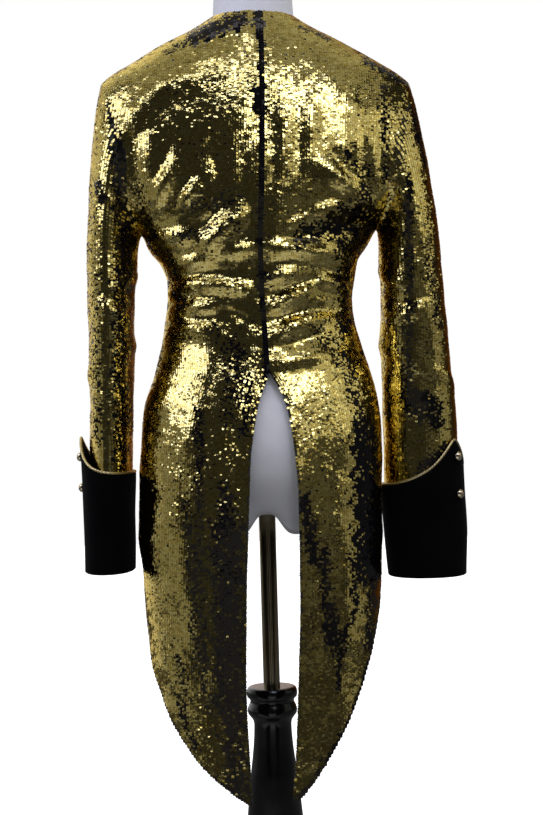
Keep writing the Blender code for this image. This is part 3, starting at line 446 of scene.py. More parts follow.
cap = [(1.5300, 0.30), (1.5300, 0.62), (1.5300, 0.84), (1.5294, 0.92), (1.5275, 0.967), (1.5240, 0.990)]
form_rings = [form_ring(z, scale) for z, scale in cap]
form_rings += [form_ring(z) for z in np.linspace(1.519, FORM[-1].z, 150)]
for angle in np.radians((8, 18, 28, 38, 50, 62, 74, 84)):
    ring = form_ring(FORM[-1].z, 0.78 + 0.22 * math.cos(angle))
    ring[:, 2] += (FORM_LOBE_Z - FORM[-1].z) * math.sin(angle)
    form_rings.append(ring)
for scale in (0.70, 0.55, 0.42, 0.32, 0.24, 0.17):
    ring = form_ring(FORM[-1].z, scale)
    ring[:, 2] = FORM_LOBE_Z
    form_rings.append(ring)
for ring in form_rings:
    arch = np.exp(-(np.abs(ring[:, 0] / FORM_ARCH_WIDTH) ** 3))
    near = np.exp(-np.maximum(ring[:, 2] - FORM[-1].z, 0) / FORM_ARCH_FADE)
    foot = np.minimum(ring[:, 2], FORM[-1].z)
    ring[:, 2] += (FORM_ARCH_Z - foot) * arch * near
socket = POLE_RADIUS + SOCKET_GAP
for radius, z in (
    (POLE_RADIUS + SOCKET_LIP, FORM_ARCH_Z),
    (socket, FORM_ARCH_Z + SOCKET_RISE),
    (socket, POLE_TOP_Z + SOCKET_GAP),
):
    form_rings.append(level_ring(radius, z, FORM_SIDES))

threads, given, result = new_group("jersey_ribs", {"Pitch": 0.0011, "Unevenness": 0.4}, ("Height", "Tone"))
place = add_node(threads, "ShaderNodeTexCoord").outputs["Object"]
axes = add_node(threads, "ShaderNodeSeparateXYZ", {"Vector": place}).outputs
wander = object_noise(threads, 60.0, 3.0)
strayed = calculate(threads, "MULTIPLY", wander, given["Unevenness"])
counted = calculate(threads, "DIVIDE", calculate(threads, "ADD", axes["X"], axes["Y"]), given["Pitch"])
phase = calculate(threads, "MULTIPLY", calculate(threads, "ADD", counted, strayed), 2 * math.pi)
set_inputs(result, {"Height": calculate(threads, "SINE", phase), "Tone": wander})


def knit_cloth(name, finish, pitch, dark, light, rise, strength):
    """A knitted cloth's material, uneven between two colours, with its ribs."""
    material, tree, shader = start_material(name, finish)
    knit = add_node(tree, "ShaderNodeGroup", {"Pitch": pitch}, node_tree=threads).outputs
    colour = mix_colours(tree, knit["Tone"], dark, light)
    set_inputs(shader, {"Base Color": colour, "Normal": add_bump(tree, knit["Height"], rise, strength)})
    return material


def skin_rings(rings):
    """Points and faces of a solid from rings that run round it from its top down."""
    sides = len(rings[0])
    faces = [[a, d, c, b] for a, b, c, d in grid_faces(len(rings), sides, columns_meet=True)]
    last = (len(rings) - 1) * sides
    faces += [tuple(range(sides)), tuple(range(last, last + sides))[::-1]]
    return np.concatenate(rings), faces


jersey = knit_cloth(
    "white_stretch_jersey",
    {"Roughness": 0.85, "Sheen Weight": 0.25, "Sheen Roughness": 0.5},
    0.0011,
    (0.76, 0.765, 0.80, 1),
    (0.84, 0.84, 0.87, 1),
    0.0002,
    0.35,
)
form = add_mesh("dress_form_cover", *skin_rings(form_rings), jersey)
finish_piece(form, "jersey", "dress_form")

# Backs. Two halves of black knit cloth, each cut in one with its tail and sewn together above the
# vent, covered with rows of two-sided sequins. Each sequin hangs by a thread at its upper edge on
# the one below, gold on one side and black on the other, and stroking the cloth turns it over.
CLOTH = 0.0022
HALF_SEAM, SEAM_GAP = 0.0002, 0.0004
NECK_Z, VENT_TOP_Z, TAIL_FAN_Z = 1.459, 1.004, 0.860
BODY_SQUARE = 2.2
ARMHOLE_SWING = math.radians(23.5)
BACK_COLUMNS = 40
TAIL_ROWS, HIP_ROWS, WAIST_ROWS, ARMHOLE_ROWS, YOKE_ROWS = 64, 26, 42, 40, 18
EDGE_ROLL = 0.45
LEAST_CELL = 0.2
FOLD_END = 0.35

COAT = rows_of(
    "z left right back front",
    (1.459, 0.057, 0.057, 0.0575, 0.047), (1.45, 0.0705, 0.0705, 0.063, 0.052),
    (1.44, 0.089, 0.089, 0.068, 0.058), (1.43, 0.11, 0.11, 0.0725, 0.063),
    (1.419, 0.131, 0.131, 0.0765, 0.068), (1.407, 0.151, 0.151, 0.0805, 0.073),
    (1.397, 0.168, 0.168, 0.0835, 0.077), (1.388, 0.184, 0.184, 0.086, 0.081),
    (1.378, 0.197, 0.197, 0.0885, 0.085), (1.364, 0.21, 0.21, 0.0915, 0.089),
    (1.345, 0.2195, 0.2195, 0.095, 0.096), (1.32, 0.225, 0.225, 0.0985, 0.104),
    (1.29, 0.224, 0.224, 0.1005, 0.111), (1.25, 0.209, 0.209, 0.1015, 0.119),
    (1.208, 0.174, 0.174, 0.0985, 0.124), (1.185, 0.1515, 0.15, 0.096, 0.123),
    (1.165, 0.142, 0.1395, 0.093, 0.12), (1.145, 0.1275, 0.126, 0.0895, 0.115),
    (1.12, 0.12, 0.1205, 0.0845, 0.107), (1.098, 0.1205, 0.116, 0.0815, 0.102),
    (1.07, 0.124, 0.119, 0.081, 0.101), (1.04, 0.13, 0.126, 0.085, 0.103),
    (1.0, 0.1415, 0.1385, 0.095, 0.108), (0.96, 0.1545, 0.1475, 0.105, 0.113),
    (0.92, 0.159, 0.151, 0.112, 0.115), (0.86, 0.1635, 0.1495, 0.118, 0.115),
    (0.8, 0.166, 0.1475, 0.12, 0.112), (0.74, 0.1605, 0.146, 0.1195, 0.107),
    (0.6, 0.156, 0.145, 0.117, 0.1), (0.46, 0.153, 0.144, 0.115, 0.096),
)
CENTRE_SEAM = rows_of(
    "z x",
    (1.459, 0.011), (1.387, 0.011), (1.239, 0.007), (1.15, 0.003), (1.103, 0.0033), (1.054, 0.0055),
    (1.004, 0.0074),
)
VENT = rows_of(
    "z left right",
    (1.004, 0.0074, 0.0074), (0.99, 0.003, 0.016), (0.967, -0.006, 0.027), (0.93, -0.0135, 0.0345),
    (0.893, -0.0185, 0.0385), (0.845, -0.0215, 0.041), (0.722, -0.028, 0.0393), (0.6, -0.0315, 0.0334),
    (0.538, -0.03, 0.0293), (0.46, -0.027, 0.0225),
)
TailCut = namedtuple("TailCut", "tip_z hem_top_z curve")
TAIL_CUTS = {-1: TailCut(0.470, 0.700, 1.85), 1: TailCut(0.471, 0.760, 1.65)}
TAIL_POINT = 0.10

# A fold runs from one end to the other and stands out of the cloth, or sinks where it is negative
FOLD = "x1 z1 x2 z2 width height"
BACK_FOLDS = rows_of(
    FOLD,
    (-0.072, 1.146, -0.024, 1.204, 0.012, 0.0075), (-0.125, 1.228, -0.1, 1.264, 0.011, 0.005),
    (-0.098, 1.218, -0.068, 1.24, 0.0105, 0.0045), (-0.112, 1.142, -0.068, 1.145, 0.0085, 0.0065),
    (-0.096, 1.117, -0.014, 1.107, 0.0095, 0.01), (-0.102, 1.086, -0.044, 1.089, 0.009, 0.0085),
    (-0.108, 1.066, -0.054, 1.057, 0.009, 0.0075), (-0.042, 1.155, -0.006, 1.158, 0.0085, 0.0045),
    (0.008, 1.155, 0.106, 1.146, 0.01, 0.01), (0.006, 1.117, 0.05, 1.126, 0.009, 0.0085),
    (0.008, 1.08, 0.064, 1.108, 0.0095, 0.01), (0.012, 1.045, 0.068, 1.071, 0.0095, 0.0095),
    (0.014, 1.014, 0.074, 1.023, 0.009, 0.0065), (0.07, 1.12, 0.114, 1.102, 0.009, 0.0075),
    (0.078, 1.258, 0.132, 1.212, 0.013, 0.007), (-0.14, 1.178, -0.06, 1.171, 0.011, 0.007),
)
FRONT_FOLDS = rows_of(
    FOLD,
    (-0.106, 1.128, -0.03, 1.116, 0.01, 0.0065), (-0.112, 1.092, -0.048, 1.096, 0.0095, 0.0055),
    (0.03, 1.122, 0.104, 1.132, 0.01, 0.0065), (0.044, 1.084, 0.108, 1.092, 0.0095, 0.0055),
    (-0.135, 1.205, -0.08, 1.24, 0.013, 0.005), (0.08, 1.236, 0.136, 1.2, 0.013, 0.005),
)
# Ends of creases and strokes read in the photograph, in pixels from its upper left corner.
# The pixel at the coat's middle and waist, the coat's lean in the picture, and metres for a pixel
MIDDLE_U, MIDDLE_V, LEAN_IN_VIEW, MIDDLE_Z = 252.6, 407.5, 0.028, 0.958
BACK_PIXEL, SLEEVE_PIXEL = (0.00123, 0.001234), (0.00127, 0.00128)
METRE = 1.0


def place_seen(u, v, pixel):
    """Where the coat shows at a pixel: across and height, to the millimetre."""
    across = (u - MIDDLE_U - LEAN_IN_VIEW * v) * pixel[0]
    return round(across, 3), round(MIDDLE_Z - (v - MIDDLE_V) * pixel[1], 3)


def from_photo(columns, pixel, width_unit, *rows):
    """A table's rows from pixels at both ends, a width in its unit and one value more."""
    placed = []
    for u1, v1, u2, v2, width, last in rows:
        ends = place_seen(u1, v1, pixel) + place_seen(u2, v2, pixel)
        placed.append((*ends, round(width * width_unit, 4), last))
    return rows_of(columns, *placed)


# Finer creases between the folds
BACK_CREASES = from_photo(FOLD, BACK_PIXEL, METRE,
    (114, 134, 140, 95, 0.01, 0.0028), (138, 97, 170, 71, 0.012, 0.0024),
    (166, 72, 208, 73, 0.012, 0.0016), (112, 92, 129, 135, 0.0045, -0.0036),
    (129, 128, 134, 178, 0.006, -0.0045), (134, 172, 137, 205, 0.007, -0.0035),
    (122, 96, 124, 124, 0.0045, 0.0022), (146, 120, 153, 162, 0.008, 0.0032),
    (168, 142, 155, 176, 0.007, -0.0032), (177, 162, 156, 199, 0.0055, 0.0034),
    (194, 170, 173, 199, 0.006, -0.003), (200, 182, 182, 201, 0.0045, 0.0026),
    (226, 200, 197, 226, 0.0065, -0.0034), (243, 211, 212, 243, 0.006, 0.0022),
    (254, 221, 231, 249, 0.006, -0.003), (214, 150, 222, 190, 0.009, -0.0014),
    (232, 130, 236, 178, 0.007, 0.0013), (348, 95, 366, 116, 0.006, 0.0018),
    (329, 148, 352, 180, 0.0065, -0.0032), (324, 165, 352, 190, 0.005, 0.0024),
    (366, 130, 371, 196, 0.006, -0.0036), (385, 100, 384, 175, 0.005, -0.0036),
    (288, 226, 318, 211, 0.0055, 0.0036), (316, 212, 350, 203, 0.0065, 0.0052),
    (348, 203, 370, 200, 0.006, 0.0042), (173, 264, 209, 259, 0.003, 0.0018),
    (209, 256, 252, 246, 0.003, 0.0016), (176, 272, 225, 268, 0.0035, -0.0018),
    (186, 282, 246, 283, 0.0032, 0.0016), (190, 291, 224, 297, 0.0028, -0.0016),
    (182, 314, 222, 304, 0.003, 0.0016), (183, 322, 214, 318, 0.003, -0.0016),
    (216, 302, 254, 321, 0.006, -0.0026), (178, 332, 210, 338, 0.0045, 0.0018),
    (262, 246, 277, 240, 0.0028, 0.0018), (277, 240, 322, 257, 0.003, 0.0018),
    (280, 250, 318, 264, 0.005, -0.0026), (264, 297, 330, 273, 0.005, -0.0034),
    (270, 303, 316, 283, 0.004, 0.0016), (268, 319, 342, 306, 0.0056, -0.0034),
    (276, 333, 313, 316, 0.004, 0.0016), (286, 346, 326, 333, 0.0048, -0.0026),
    (318, 286, 348, 296, 0.0035, -0.002), (322, 262, 350, 280, 0.004, -0.0024),
) + rows_of(FOLD,
    (-0.153, 1.285, -0.123, 1.331, 0.012, -0.0018), (-0.123, 1.331, -0.08, 1.35, 0.013, -0.0014),
    (0.037, 1.33, 0.03, 1.239, 0.0075, 0.0022), (0.053, 1.325, 0.052, 1.245, 0.0065, -0.0022),
    (0.07, 1.335, 0.068, 1.262, 0.0065, 0.0018), (0.038, 1.168, 0.088, 1.18, 0.01, -0.0044),
    (0.085, 1.18, 0.139, 1.188, 0.012, -0.0056), (-0.128, 0.96, -0.118, 0.76, 0.015, 0.0014),
    (-0.072, 0.9, -0.078, 0.6, 0.018, -0.0022), (-0.045, 0.78, -0.05, 0.54, 0.012, 0.0014),
    (0.062, 0.9, 0.07, 0.62, 0.016, -0.0018), (0.105, 0.86, 0.098, 0.64, 0.015, 0.0016),
)
FRONT_CREASES = rows_of(
    FOLD,
    (-0.09, 1.11, -0.04, 1.106, 0.0045, 0.0018), (0.04, 1.104, 0.09, 1.112, 0.0045, 0.0018),
    (-0.11, 1.25, -0.07, 1.29, 0.013, 0.0018), (0.07, 1.29, 0.112, 1.244, 0.013, 0.0018),
    (-0.1, 1.07, -0.06, 1.078, 0.005, -0.0012), (0.058, 1.076, 0.104, 1.066, 0.005, -0.0012),
)
# Long shallow waves, because the weight of the sequins never lets the cloth lie flat
CLOTH_WAVES = rows_of(
    "across up phase height",
    (95.0, 31.0, 0.4, 0.00045), (-62.0, 74.0, 2.1, 0.0004), (150.0, -48.0, 4.0, 0.00022),
    (38.0, 128.0, 1.2, 0.0002),
)


def half_name(side):
    """The table column that holds this side's half width."""
    return "left" if side < 0 else "right"


def coat_depth(z, at_back):
    """How far the coat reaches behind or in front of its middle."""
    return np.where(at_back, read_rows(COAT, z, "back"), read_rows(COAT, z, "front"))


def coat_plain(side, angle, z):
    """Points of the coat before folds. Angle 0 is the side line, a quarter turn the centre back."""
    angle, z = np.broadcast_arrays(np.asarray(angle, float), np.asarray(z, float))
    across, along = np.cos(angle), np.sin(angle)
    half = read_rows(COAT, z, half_name(side))
    reach = square_reach(across / half, along / coat_depth(z, angle > 0), BODY_SQUARE)
    x = side * reach * across
    drop = SHOULDER_DROP * x * ease(z, UNDERARM_Z, SHOULDER_TIP_Z)
    return np.stack((x, -reach * along, z - drop), axis=-1)


def beside_line(line, x, z):
    """The share of a line's length beside each place, and how far off it lies across and up."""
    run_x, run_z = line.x2 - line.x1, line.z2 - line.z1
    share = ((x - line.x1) * run_x + (z - line.z1) * run_z) / (run_x**2 + run_z**2)
    share = np.clip(share, 0, 1)
    return share, x - line.x1 - run_x * share, z - line.z1 - run_z * share


def fold_lift(folds, x, z):
    """How far straight folds lift each place: most at a fold's middle, fading at its ends."""
    lift = np.zeros_like(x)
    for fold in folds:
        share, off_x, off_z = beside_line(fold, x, z)
        body = FOLD_END + (1 - FOLD_END) * np.sin(np.pi * share)
        lift += fold.height * body * np.exp(-(off_x**2 + off_z**2) / fold.width**2)
    return lift


def wave_lift(x, z):
    """The long shallow waves of hanging cloth."""
    return sum(wave.height * np.sin(wave.across * x + wave.up * z + wave.phase) for wave in CLOTH_WAVES)


def coat_face(side, angle, z):
    """Points of the coat's outer face with its folds, creases and waves."""
    plain = coat_plain(side, angle, z)
    x, up = plain[..., 0], plain[..., 2]
    angle = np.broadcast_to(angle, x.shape)
    back = fold_lift(BACK_FOLDS + BACK_CREASES, x, up)
    front = fold_lift(FRONT_FOLDS + FRONT_CREASES, x, up)
    lift = np.where(angle > 0, back, front) * ease(np.abs(angle), 0.02, 0.25) + wave_lift(x, up)
    outward = np.stack((x, plain[..., 1] * 1.6, np.zeros_like(x)), axis=-1)
    outward /= np.linalg.norm(outward, axis=-1, keepdims=True)
    return plain + outward * lift[..., None]


def unit(vectors):
    """The same vectors with length one."""
    return vectors / np.maximum(np.linalg.norm(vectors, axis=-1, keepdims=True), 1e-12)


def coat_normal(side, angle, z):
    """The outward direction of the coat's face."""
    turn, rise = 0.02, 0.002
    round_it = coat_face(side, angle + turn, z) - coat_face(side, angle - turn, z)
    up_it = coat_face(side, angle, np.minimum(z + rise, NECK_Z)) - coat_face(side, angle, z - rise)
    normal = unit(np.cross(round_it, up_it))
    outward = np.stack((side * np.cos(angle), -np.sin(angle), np.zeros_like(angle)), axis=-1)
    return normal * np.sign(np.sum(normal * outward, axis=-1, keepdims=True))


def angle_at(side, x, z, at_back):
    """The angle at which the coat's section at height z reaches x."""
    share = np.minimum(1.0, np.abs(x) / read_rows(COAT, z, half_name(side)))
    y = coat_depth(z, at_back) * (1 - share**BODY_SQUARE) ** (1 / BODY_SQUARE)
    return np.arctan2(y, side * x) * (1 if at_back else -1)


def step_angle(side, angle, z, length):
    """The angle that spans a length on the coat's section."""
    point = coat_plain(side, angle, z)
    return length / np.hypot(point[..., 0], point[..., 1])


def armhole_angle(z):
    """How far the armhole's edge stands from the side line, a half oval between its ends."""
    share = np.clip((z - UNDERARM_Z) / (SHOULDER_TIP_Z - UNDERARM_Z), 0, 1)
    return ARMHOLE_SWING * np.sqrt(np.clip(1 - (2 * share - 1) ** 2, 0, 1))


def armhole_heights():
    """Heights of the armhole's rows, evenly spaced round its curve."""
    turns = np.pi * np.arange(ARMHOLE_ROWS + 1) / ARMHOLE_ROWS
    return UNDERARM_Z + (SHOULDER_TIP_Z - UNDERARM_Z) * (1 - np.cos(turns)) / 2


def body_heights():
    """Heights of the rows from the vent's top to the neck, shared by fronts and backs."""
    waist = np.linspace(VENT_TOP_Z, UNDERARM_Z, WAIST_ROWS + 1)
    yoke = np.linspace(SHOULDER_TIP_Z, NECK_Z, YOKE_ROWS + 1)
    return np.concatenate((waist[:-1], armhole_heights(), yoke[1:]))


def back_angle(side, share, z):
    """Angle of a back's grid point: share 0 at the centre back, 1 at its outer edge."""
    seam_x = read_rows(CENTRE_SEAM, z, "x")
    vent_x = read_rows(VENT, z, half_name(side))
    centre = angle_at(side, np.where(z > VENT_TOP_Z, seam_x, vent_x), z, True)
    inner = centre - step_angle(side, centre, z, HALF_SEAM)
    edge = armhole_angle(z)
    outer = edge + step_angle(side, edge, z, HALF_SEAM)
    return inner + (outer - inner) * share


def tail_hem(side, share):
    """Height of a tail's hem at each share of its width: a rounded sweep down to the tip."""
    cut = TAIL_CUTS[side]
    tip_z = np.array(cut.tip_z)
    tip_x = abs(coat_plain(side, back_angle(side, 0.0, tip_z), tip_z)[0])
    side_x = float(read_rows(COAT, np.array(cut.hem_top_z), half_name(side)))
    z = np.full_like(share, cut.hem_top_z)
    for _ in range(6):
        x = np.abs(coat_plain(side, back_angle(side, share, z), z)[..., 0])
        reach = np.clip((x - tip_x) / (side_x - tip_x), 0, 1)
        sweep = (1 - TAIL_POINT) * (1 - reach**cut.curve) ** (1 / cut.curve) + TAIL_POINT * (1 - reach) ** 3
        z = cut.hem_top_z - (cut.hem_top_z - cut.tip_z) * sweep
    return z


def lay_flat(points, start_row, start_column):
    """Where each grid point lies in the flat cut: across and up, in metres, as an (u, v) grid."""
    level = np.linalg.norm(np.diff(points[..., :2], axis=1), axis=-1)
    across = np.concatenate((np.zeros((len(points), 1)), np.cumsum(level, axis=1)), axis=1)
    across -= across[:, start_column][:, None]
    rise = np.linalg.norm(np.diff(points, axis=0), axis=-1)
    up = np.concatenate((np.zeros((1, points.shape[1])), np.cumsum(rise, axis=0)), axis=0)
    up -= up[start_row][None, :]
    return np.stack((across, up), axis=-1)


def corner_areas(grid):
    """Twice the signed area of each corner triangle of a flat grid's cells."""
    corners = (grid[:-1, :-1], grid[:-1, 1:], grid[1:, 1:], grid[1:, :-1])
    areas = []
    for k in range(4):
        a, b = corners[k - 2] - corners[k - 3], corners[k - 1] - corners[k - 3]
        areas.append(a[..., 0] * b[..., 1] - a[..., 1] * b[..., 0])
    return np.stack(areas)


def let_out(points, flat, held):
    """The flat cut again with its threads let out to their true lengths, outside the held rows."""
    near, far = slice(None, -1), slice(1, None)
    whole = slice(None)
    links = (
        ((whole, near), (whole, far)),
        ((near, whole), (far, whole)),
        ((near, near), (far, far)),
        ((near, far), (far, near)),
    )
    lengths = [np.linalg.norm(points[b] - points[a], axis=-1) for a, b in links]
    sides = (points[1:, :-1] - points[:-1, :-1], points[:-1, 1:] - points[:-1, :-1])
    least = LEAST_CELL * np.linalg.norm(np.cross(*sides), axis=-1)
    hand = np.sign(np.median(corner_areas(flat)))
    flat = flat.copy()
    for _ in range(400):
        move = np.zeros_like(flat)
        for (a, b), length in zip(links, lengths):
            gap = flat[b] - flat[a]
            slack = 1 - length / np.maximum(np.linalg.norm(gap, axis=-1), 1e-9)
            pull = gap * np.clip(slack, -0.5, 0.5)[..., None] / 2
            move[a] += pull
            move[b] -= pull
        move[held] = 0
        after = flat + move * 0.25
        folded = (hand * corner_areas(after)).min(axis=0) < least
        for rows in (near, far):
            for columns in (near, far):
                move[rows, columns][folded] = 0
        flat = flat + move * 0.25
    return flat


def grid_normals(points, side):
    """Outward directions of a panel's grid, whose rows go up and columns away from its start."""
    return unit(np.cross(np.gradient(points, axis=1), np.gradient(points, axis=0))) * side


def cloth_wall(name, outer, normals, thickness, is_tube, material, flat):
    """A closed cloth wall under its outer grid of points, with softly turned edges."""
    rows, columns = outer.shape[:2]
    inner = outer - normals * thickness
    middle = (outer + inner) / 2
    roll = thickness * EDGE_ROLL
    low = middle[0] + unit(outer[0] - outer[1]) * roll
    high = middle[-1] + unit(outer[-1] - outer[-2]) * roll
    grid = np.concatenate((outer, high[None], inner[::-1], low[None]))
    flats = np.concatenate((flat, flat[-1:], flat[::-1], flat[:1]))
    spare = 0 if is_tube else 1
    points, cuts = [grid.reshape(-1, 3)], [flats.reshape(-1, 2)]
    faces = grid_faces(len(grid), columns, rows_meet=True)
    if not is_tube:
        for column, beside in ((0, 1), (columns - 1, columns - 2)):
            edge = np.arange(rows) + sum(len(block) for block in points)
            points.append(middle[:, column] + unit(outer[:, column] - outer[:, beside]) * roll)
            cuts.append(flat[:, column])
            outside = np.arange(rows) * columns + column
            inside = (2 * rows - np.arange(rows)) * columns + column
            for k in range(rows - 1):
                faces.append([outside[k], outside[k + 1], edge[k + 1], edge[k]])
                faces.append([edge[k], edge[k + 1], inside[k + 1], inside[k]])
            top, bottom = rows * columns + column, (2 * rows + 1) * columns + column
            faces += [[outside[-1], top, edge[-1]], [edge[-1], top, inside[-1]]]
            faces += [[outside[0], edge[0], bottom], [edge[0], inside[0], bottom]]
    item = add_mesh(name, np.concatenate(points), faces, material)
    mesh = item.data
    layer = mesh.uv_layers.new(name="cut")
    corners = np.empty(len(mesh.loops), dtype=np.int32)
    mesh.loops.foreach_get("vertex_index", corners)
    layer.data.foreach_set("uv", np.concatenate(cuts)[corners].ravel().astype(np.float32))
    close_shell(mesh, is_tube)
    return item


def close_shell(mesh, is_tube):
    """Joins a tube's first and last columns and turns every face outwards."""
    bm = bmesh.new()
    bm.from_mesh(mesh)
    if is_tube:
        bmesh.ops.remove_doubles(bm, verts=bm.verts, dist=1e-6)
    bmesh.ops.recalc_face_normals(bm, faces=bm.faces)
    bm.to_mesh(mesh)
    bm.free()


# Film of a sequin: gold on one side and black on the other, a little scratched and uneven. It is
# a flat disc here, and its shading alone cups it.
GOLD_PALE, GOLD_DEEP = (0.85, 0.73, 0.29, 1), (0.56, 0.42, 0.10, 1)
BLACK_SIDE = (0.004, 0.004, 0.006, 1)
CUP_SLOPE = 25.0

sequin_film, tree, shader = start_material(
    "two_sided_sequin_film", {"Specular IOR Level": 0.28, "Specular Tint": (1.0, 0.86, 0.58, 1)}
)
tone, black_side, seat = (
    add_node(tree, "ShaderNodeAttribute", attribute_name=name).outputs
    for name in ("tone", "black_side", "seat")
)
gold = mix_colours(tree, tone["Fac"], GOLD_PALE, GOLD_DEEP)
scratches = object_noise(tree, 700.0, 3.0)
rubbed = calculate(tree, "MULTIPLY_ADD", scratches, 0.07, 0.02)
facing = add_node(tree, "ShaderNodeNewGeometry").outputs
off_seat = calculate_vector(tree, "SUBTRACT", seat["Vector"], facing["Position"])
cupped = calculate_vector(tree, "MULTIPLY_ADD", off_seat, (CUP_SLOPE,) * 3, facing["Normal"])
cupped = calculate_vector(tree, "NORMALIZE", cupped)
film = {
    "Base Color": mix_colours(tree, black_side["Fac"], gold, BLACK_SIDE),
    "Metallic": carry_over(tree, black_side["Fac"], wanted=(1.0, 0.0)),
    "Roughness": calculate(tree, "MULTIPLY_ADD", tone["Fac"], 0.05, rubbed),
    "Normal": add_bump(tree, scratches, 0.0002, 0.35, Normal=cupped),
}
set_inputs(shader, film)

# Knit cloth that carries the sequins, dull black, seen only between them and from inside
ground_cloth = knit_cloth(
    "black_knit_ground",
    {"Roughness": 0.9, "Sheen Weight": 0.15},
    0.0013,
    (0.010, 0.009, 0.008, 1),
    (0.020, 0.017, 0.013, 1),
    0.0003,
    0.5,
)


def new_tree(name, sockets):
    """A Geometry Nodes tree from (label, type, value) sockets, what it is given and its end."""
    made = bpy.data.node_groups.new(name, "GeometryNodeTree")
    made.interface.new_socket("Geometry", in_out="OUTPUT", socket_type="NodeSocketGeometry")
    made.interface.new_socket("Geometry", in_out="INPUT", socket_type="NodeSocketGeometry")
    for label, kind, value in sockets:
        socket = made.interface.new_socket(label, in_out="INPUT", socket_type=f"NodeSocket{kind}")
        if value is not None:
            socket.default_value = value
    return made, made.nodes.new("NodeGroupInput").outputs, made.nodes.new("NodeGroupOutput")


def draw_vector(tree, least, most, seed):
    """A random vector for each point."""
    values = {0: least, 1: most, "Seed": seed}
    return add_node(tree, "FunctionNodeRandomValue", values, data_type="FLOAT_VECTOR").outputs[0]


def draw_number(tree, least, most, seed):
    """A random number for each point."""
    values = {2: least, 3: most, "Seed": seed}
    return add_node(tree, "FunctionNodeRandomValue", values, data_type="FLOAT").outputs[1]


def grow(item, tree, values):
    """Runs a Geometry Nodes tree with its inputs on an object and keeps the plain mesh."""
    modifier = item.modifiers.new("maker", "NODES")
    modifier.node_group = tree
    for socket in tree.interface.items_tree:
        if socket.in_out == "INPUT" and socket.name in values:
            modifier[socket.identifier] = values[socket.name]
    graph = bpy.context.evaluated_depsgraph_get()
    mesh = bpy.data.meshes.new_from_object(item.evaluated_get(graph))
    item.modifiers.remove(modifier)
    item.data = mesh
    mesh.name = item.name
    return mesh


SEQUIN_RADIUS, SEQUIN_SIZES = 0.00176, (0.93, 1.05)
SEQUIN_CORNERS = 7
ROW_PITCH, SEQUIN_PITCH = 0.00205, 0.00315
STITCH_STRAY = np.array((0.00012, 0.00022, 0))
SEQUIN_LEAN, SEQUIN_LIFT = math.radians(9.0), 0.0009
# At full size a few stitches at the fronts' shoulders are found otherwise from run to run, likely
# because the flat cut folds over itself there. On a smaller cut every run finds the same places
MAP_SCALE = 1 / 8
# What the cloth says at each stitch: where it is, its directions and the state of its sequins
SEWN_VALUES = (
    ("position", "FLOAT_VECTOR"),
    ("out", "FLOAT_VECTOR"),
    ("top", "FLOAT_VECTOR"),
    ("turned_over", "FLOAT"),
    ("loose", "FLOAT"),
    ("stretch", "FLOAT"),
    ("hang", "FLOAT"),
)

sew, given, result = new_tree(
    "sew_sequins",
    (
        ("Low Corner", "Vector", (0, 0, 0)),
        ("Per Row", "Int", 10),
        ("Count", "Int", 100),
        ("Across", "Float", SEQUIN_PITCH),
        ("Up", "Float", ROW_PITCH),
        ("Radius", "Float", SEQUIN_RADIUS),
        ("Lean", "Float", SEQUIN_LEAN),
        ("Loose", "Float", 0.03),
        ("Stray", "Vector", (4.8, 4.8, 2.0)),
        ("Pucker", "Vector", (0.42, 0.36, 0.20)),
        ("Pucker Grain", "Vector", (85.0, 85.0, 125.0)),
        ("Seed", "Int", 1),
        ("Film", "Material", None),
    ),
)
# Stitches in rows on the flat cut, every second column half a row up
number = add_node(sew, "GeometryNodeInputIndex")
row = calculate(sew, "FLOOR", calculate(sew, "DIVIDE", number, given["Per Row"]))
column = calculate(sew, "FLOORED_MODULO", number, given["Per Row"])
half_up = calculate(sew, "MULTIPLY_ADD", calculate(sew, "FLOORED_MODULO", column, 2.0), 0.5, row)
across = calculate(sew, "MULTIPLY", column, given["Across"])
up = calculate(sew, "MULTIPLY", half_up, given["Up"])
spot = add_node(sew, "ShaderNodeCombineXYZ", {"X": across, "Y": up})
uneven = draw_vector(sew, -STITCH_STRAY, STITCH_STRAY, given["Seed"])
spot = calculate_vector(sew, "ADD", calculate_vector(sew, "ADD", spot, given["Low Corner"]), uneven)
stitches = add_node(sew, "GeometryNodePoints", {"Count": given["Count"], "Position": spot})
# Each stitch asks the cloth there, and those off the cloth go
where = add_node(sew, "GeometryNodeInputPosition")
asked = calculate_vector(sew, "SCALE", where)
set_inputs(asked, {"Scale": MAP_SCALE})
cut_map = add_node(sew, "GeometryNodeInputNamedAttribute", {"Name": "cut"}, data_type="FLOAT_VECTOR")
keep = add_node(sew, "GeometryNodeCaptureAttribute")
keep.capture_items.clear()
for label, kind in SEWN_VALUES:
    keep.capture_items.new(kind.split("_")[-1], label)
keep.capture_items.new("BOOLEAN", "on_cloth")
set_inputs(keep, {"Geometry": stitches})
for label, kind in SEWN_VALUES:
    source = where
    if label != "position":
        source = add_node(sew, "GeometryNodeInputNamedAttribute", {"Name": label}, data_type=kind)
    values = {"Mesh": given["Geometry"], "Value": source, "UV Map": cut_map, "Sample UV": asked}
    found = add_node(sew, "GeometryNodeSampleUVSurface", values, data_type=kind)
    set_inputs(keep, {label: found.outputs["Value"]})
    if label == "position":
        set_inputs(keep, {"on_cloth": found.outputs["Is Valid"]})
sewn = keep.outputs
off_cloth = add_node(sew, "FunctionNodeBooleanMath", {0: sewn["on_cloth"]}, operation="NOT")
held = {"Geometry": sewn["Geometry"], "Selection": off_cloth}
on_cloth = add_node(sew, "GeometryNodeDeleteGeometry", held, domain="POINT")
lifted = calculate_vector(sew, "SCALE", sewn["out"])
set_inputs(lifted, {"Scale": SEQUIN_LIFT})
seats = add_node(
    sew, "GeometryNodeSetPosition", {"Geometry": on_cloth, "Position": sewn["position"], "Offset": lifted}
)
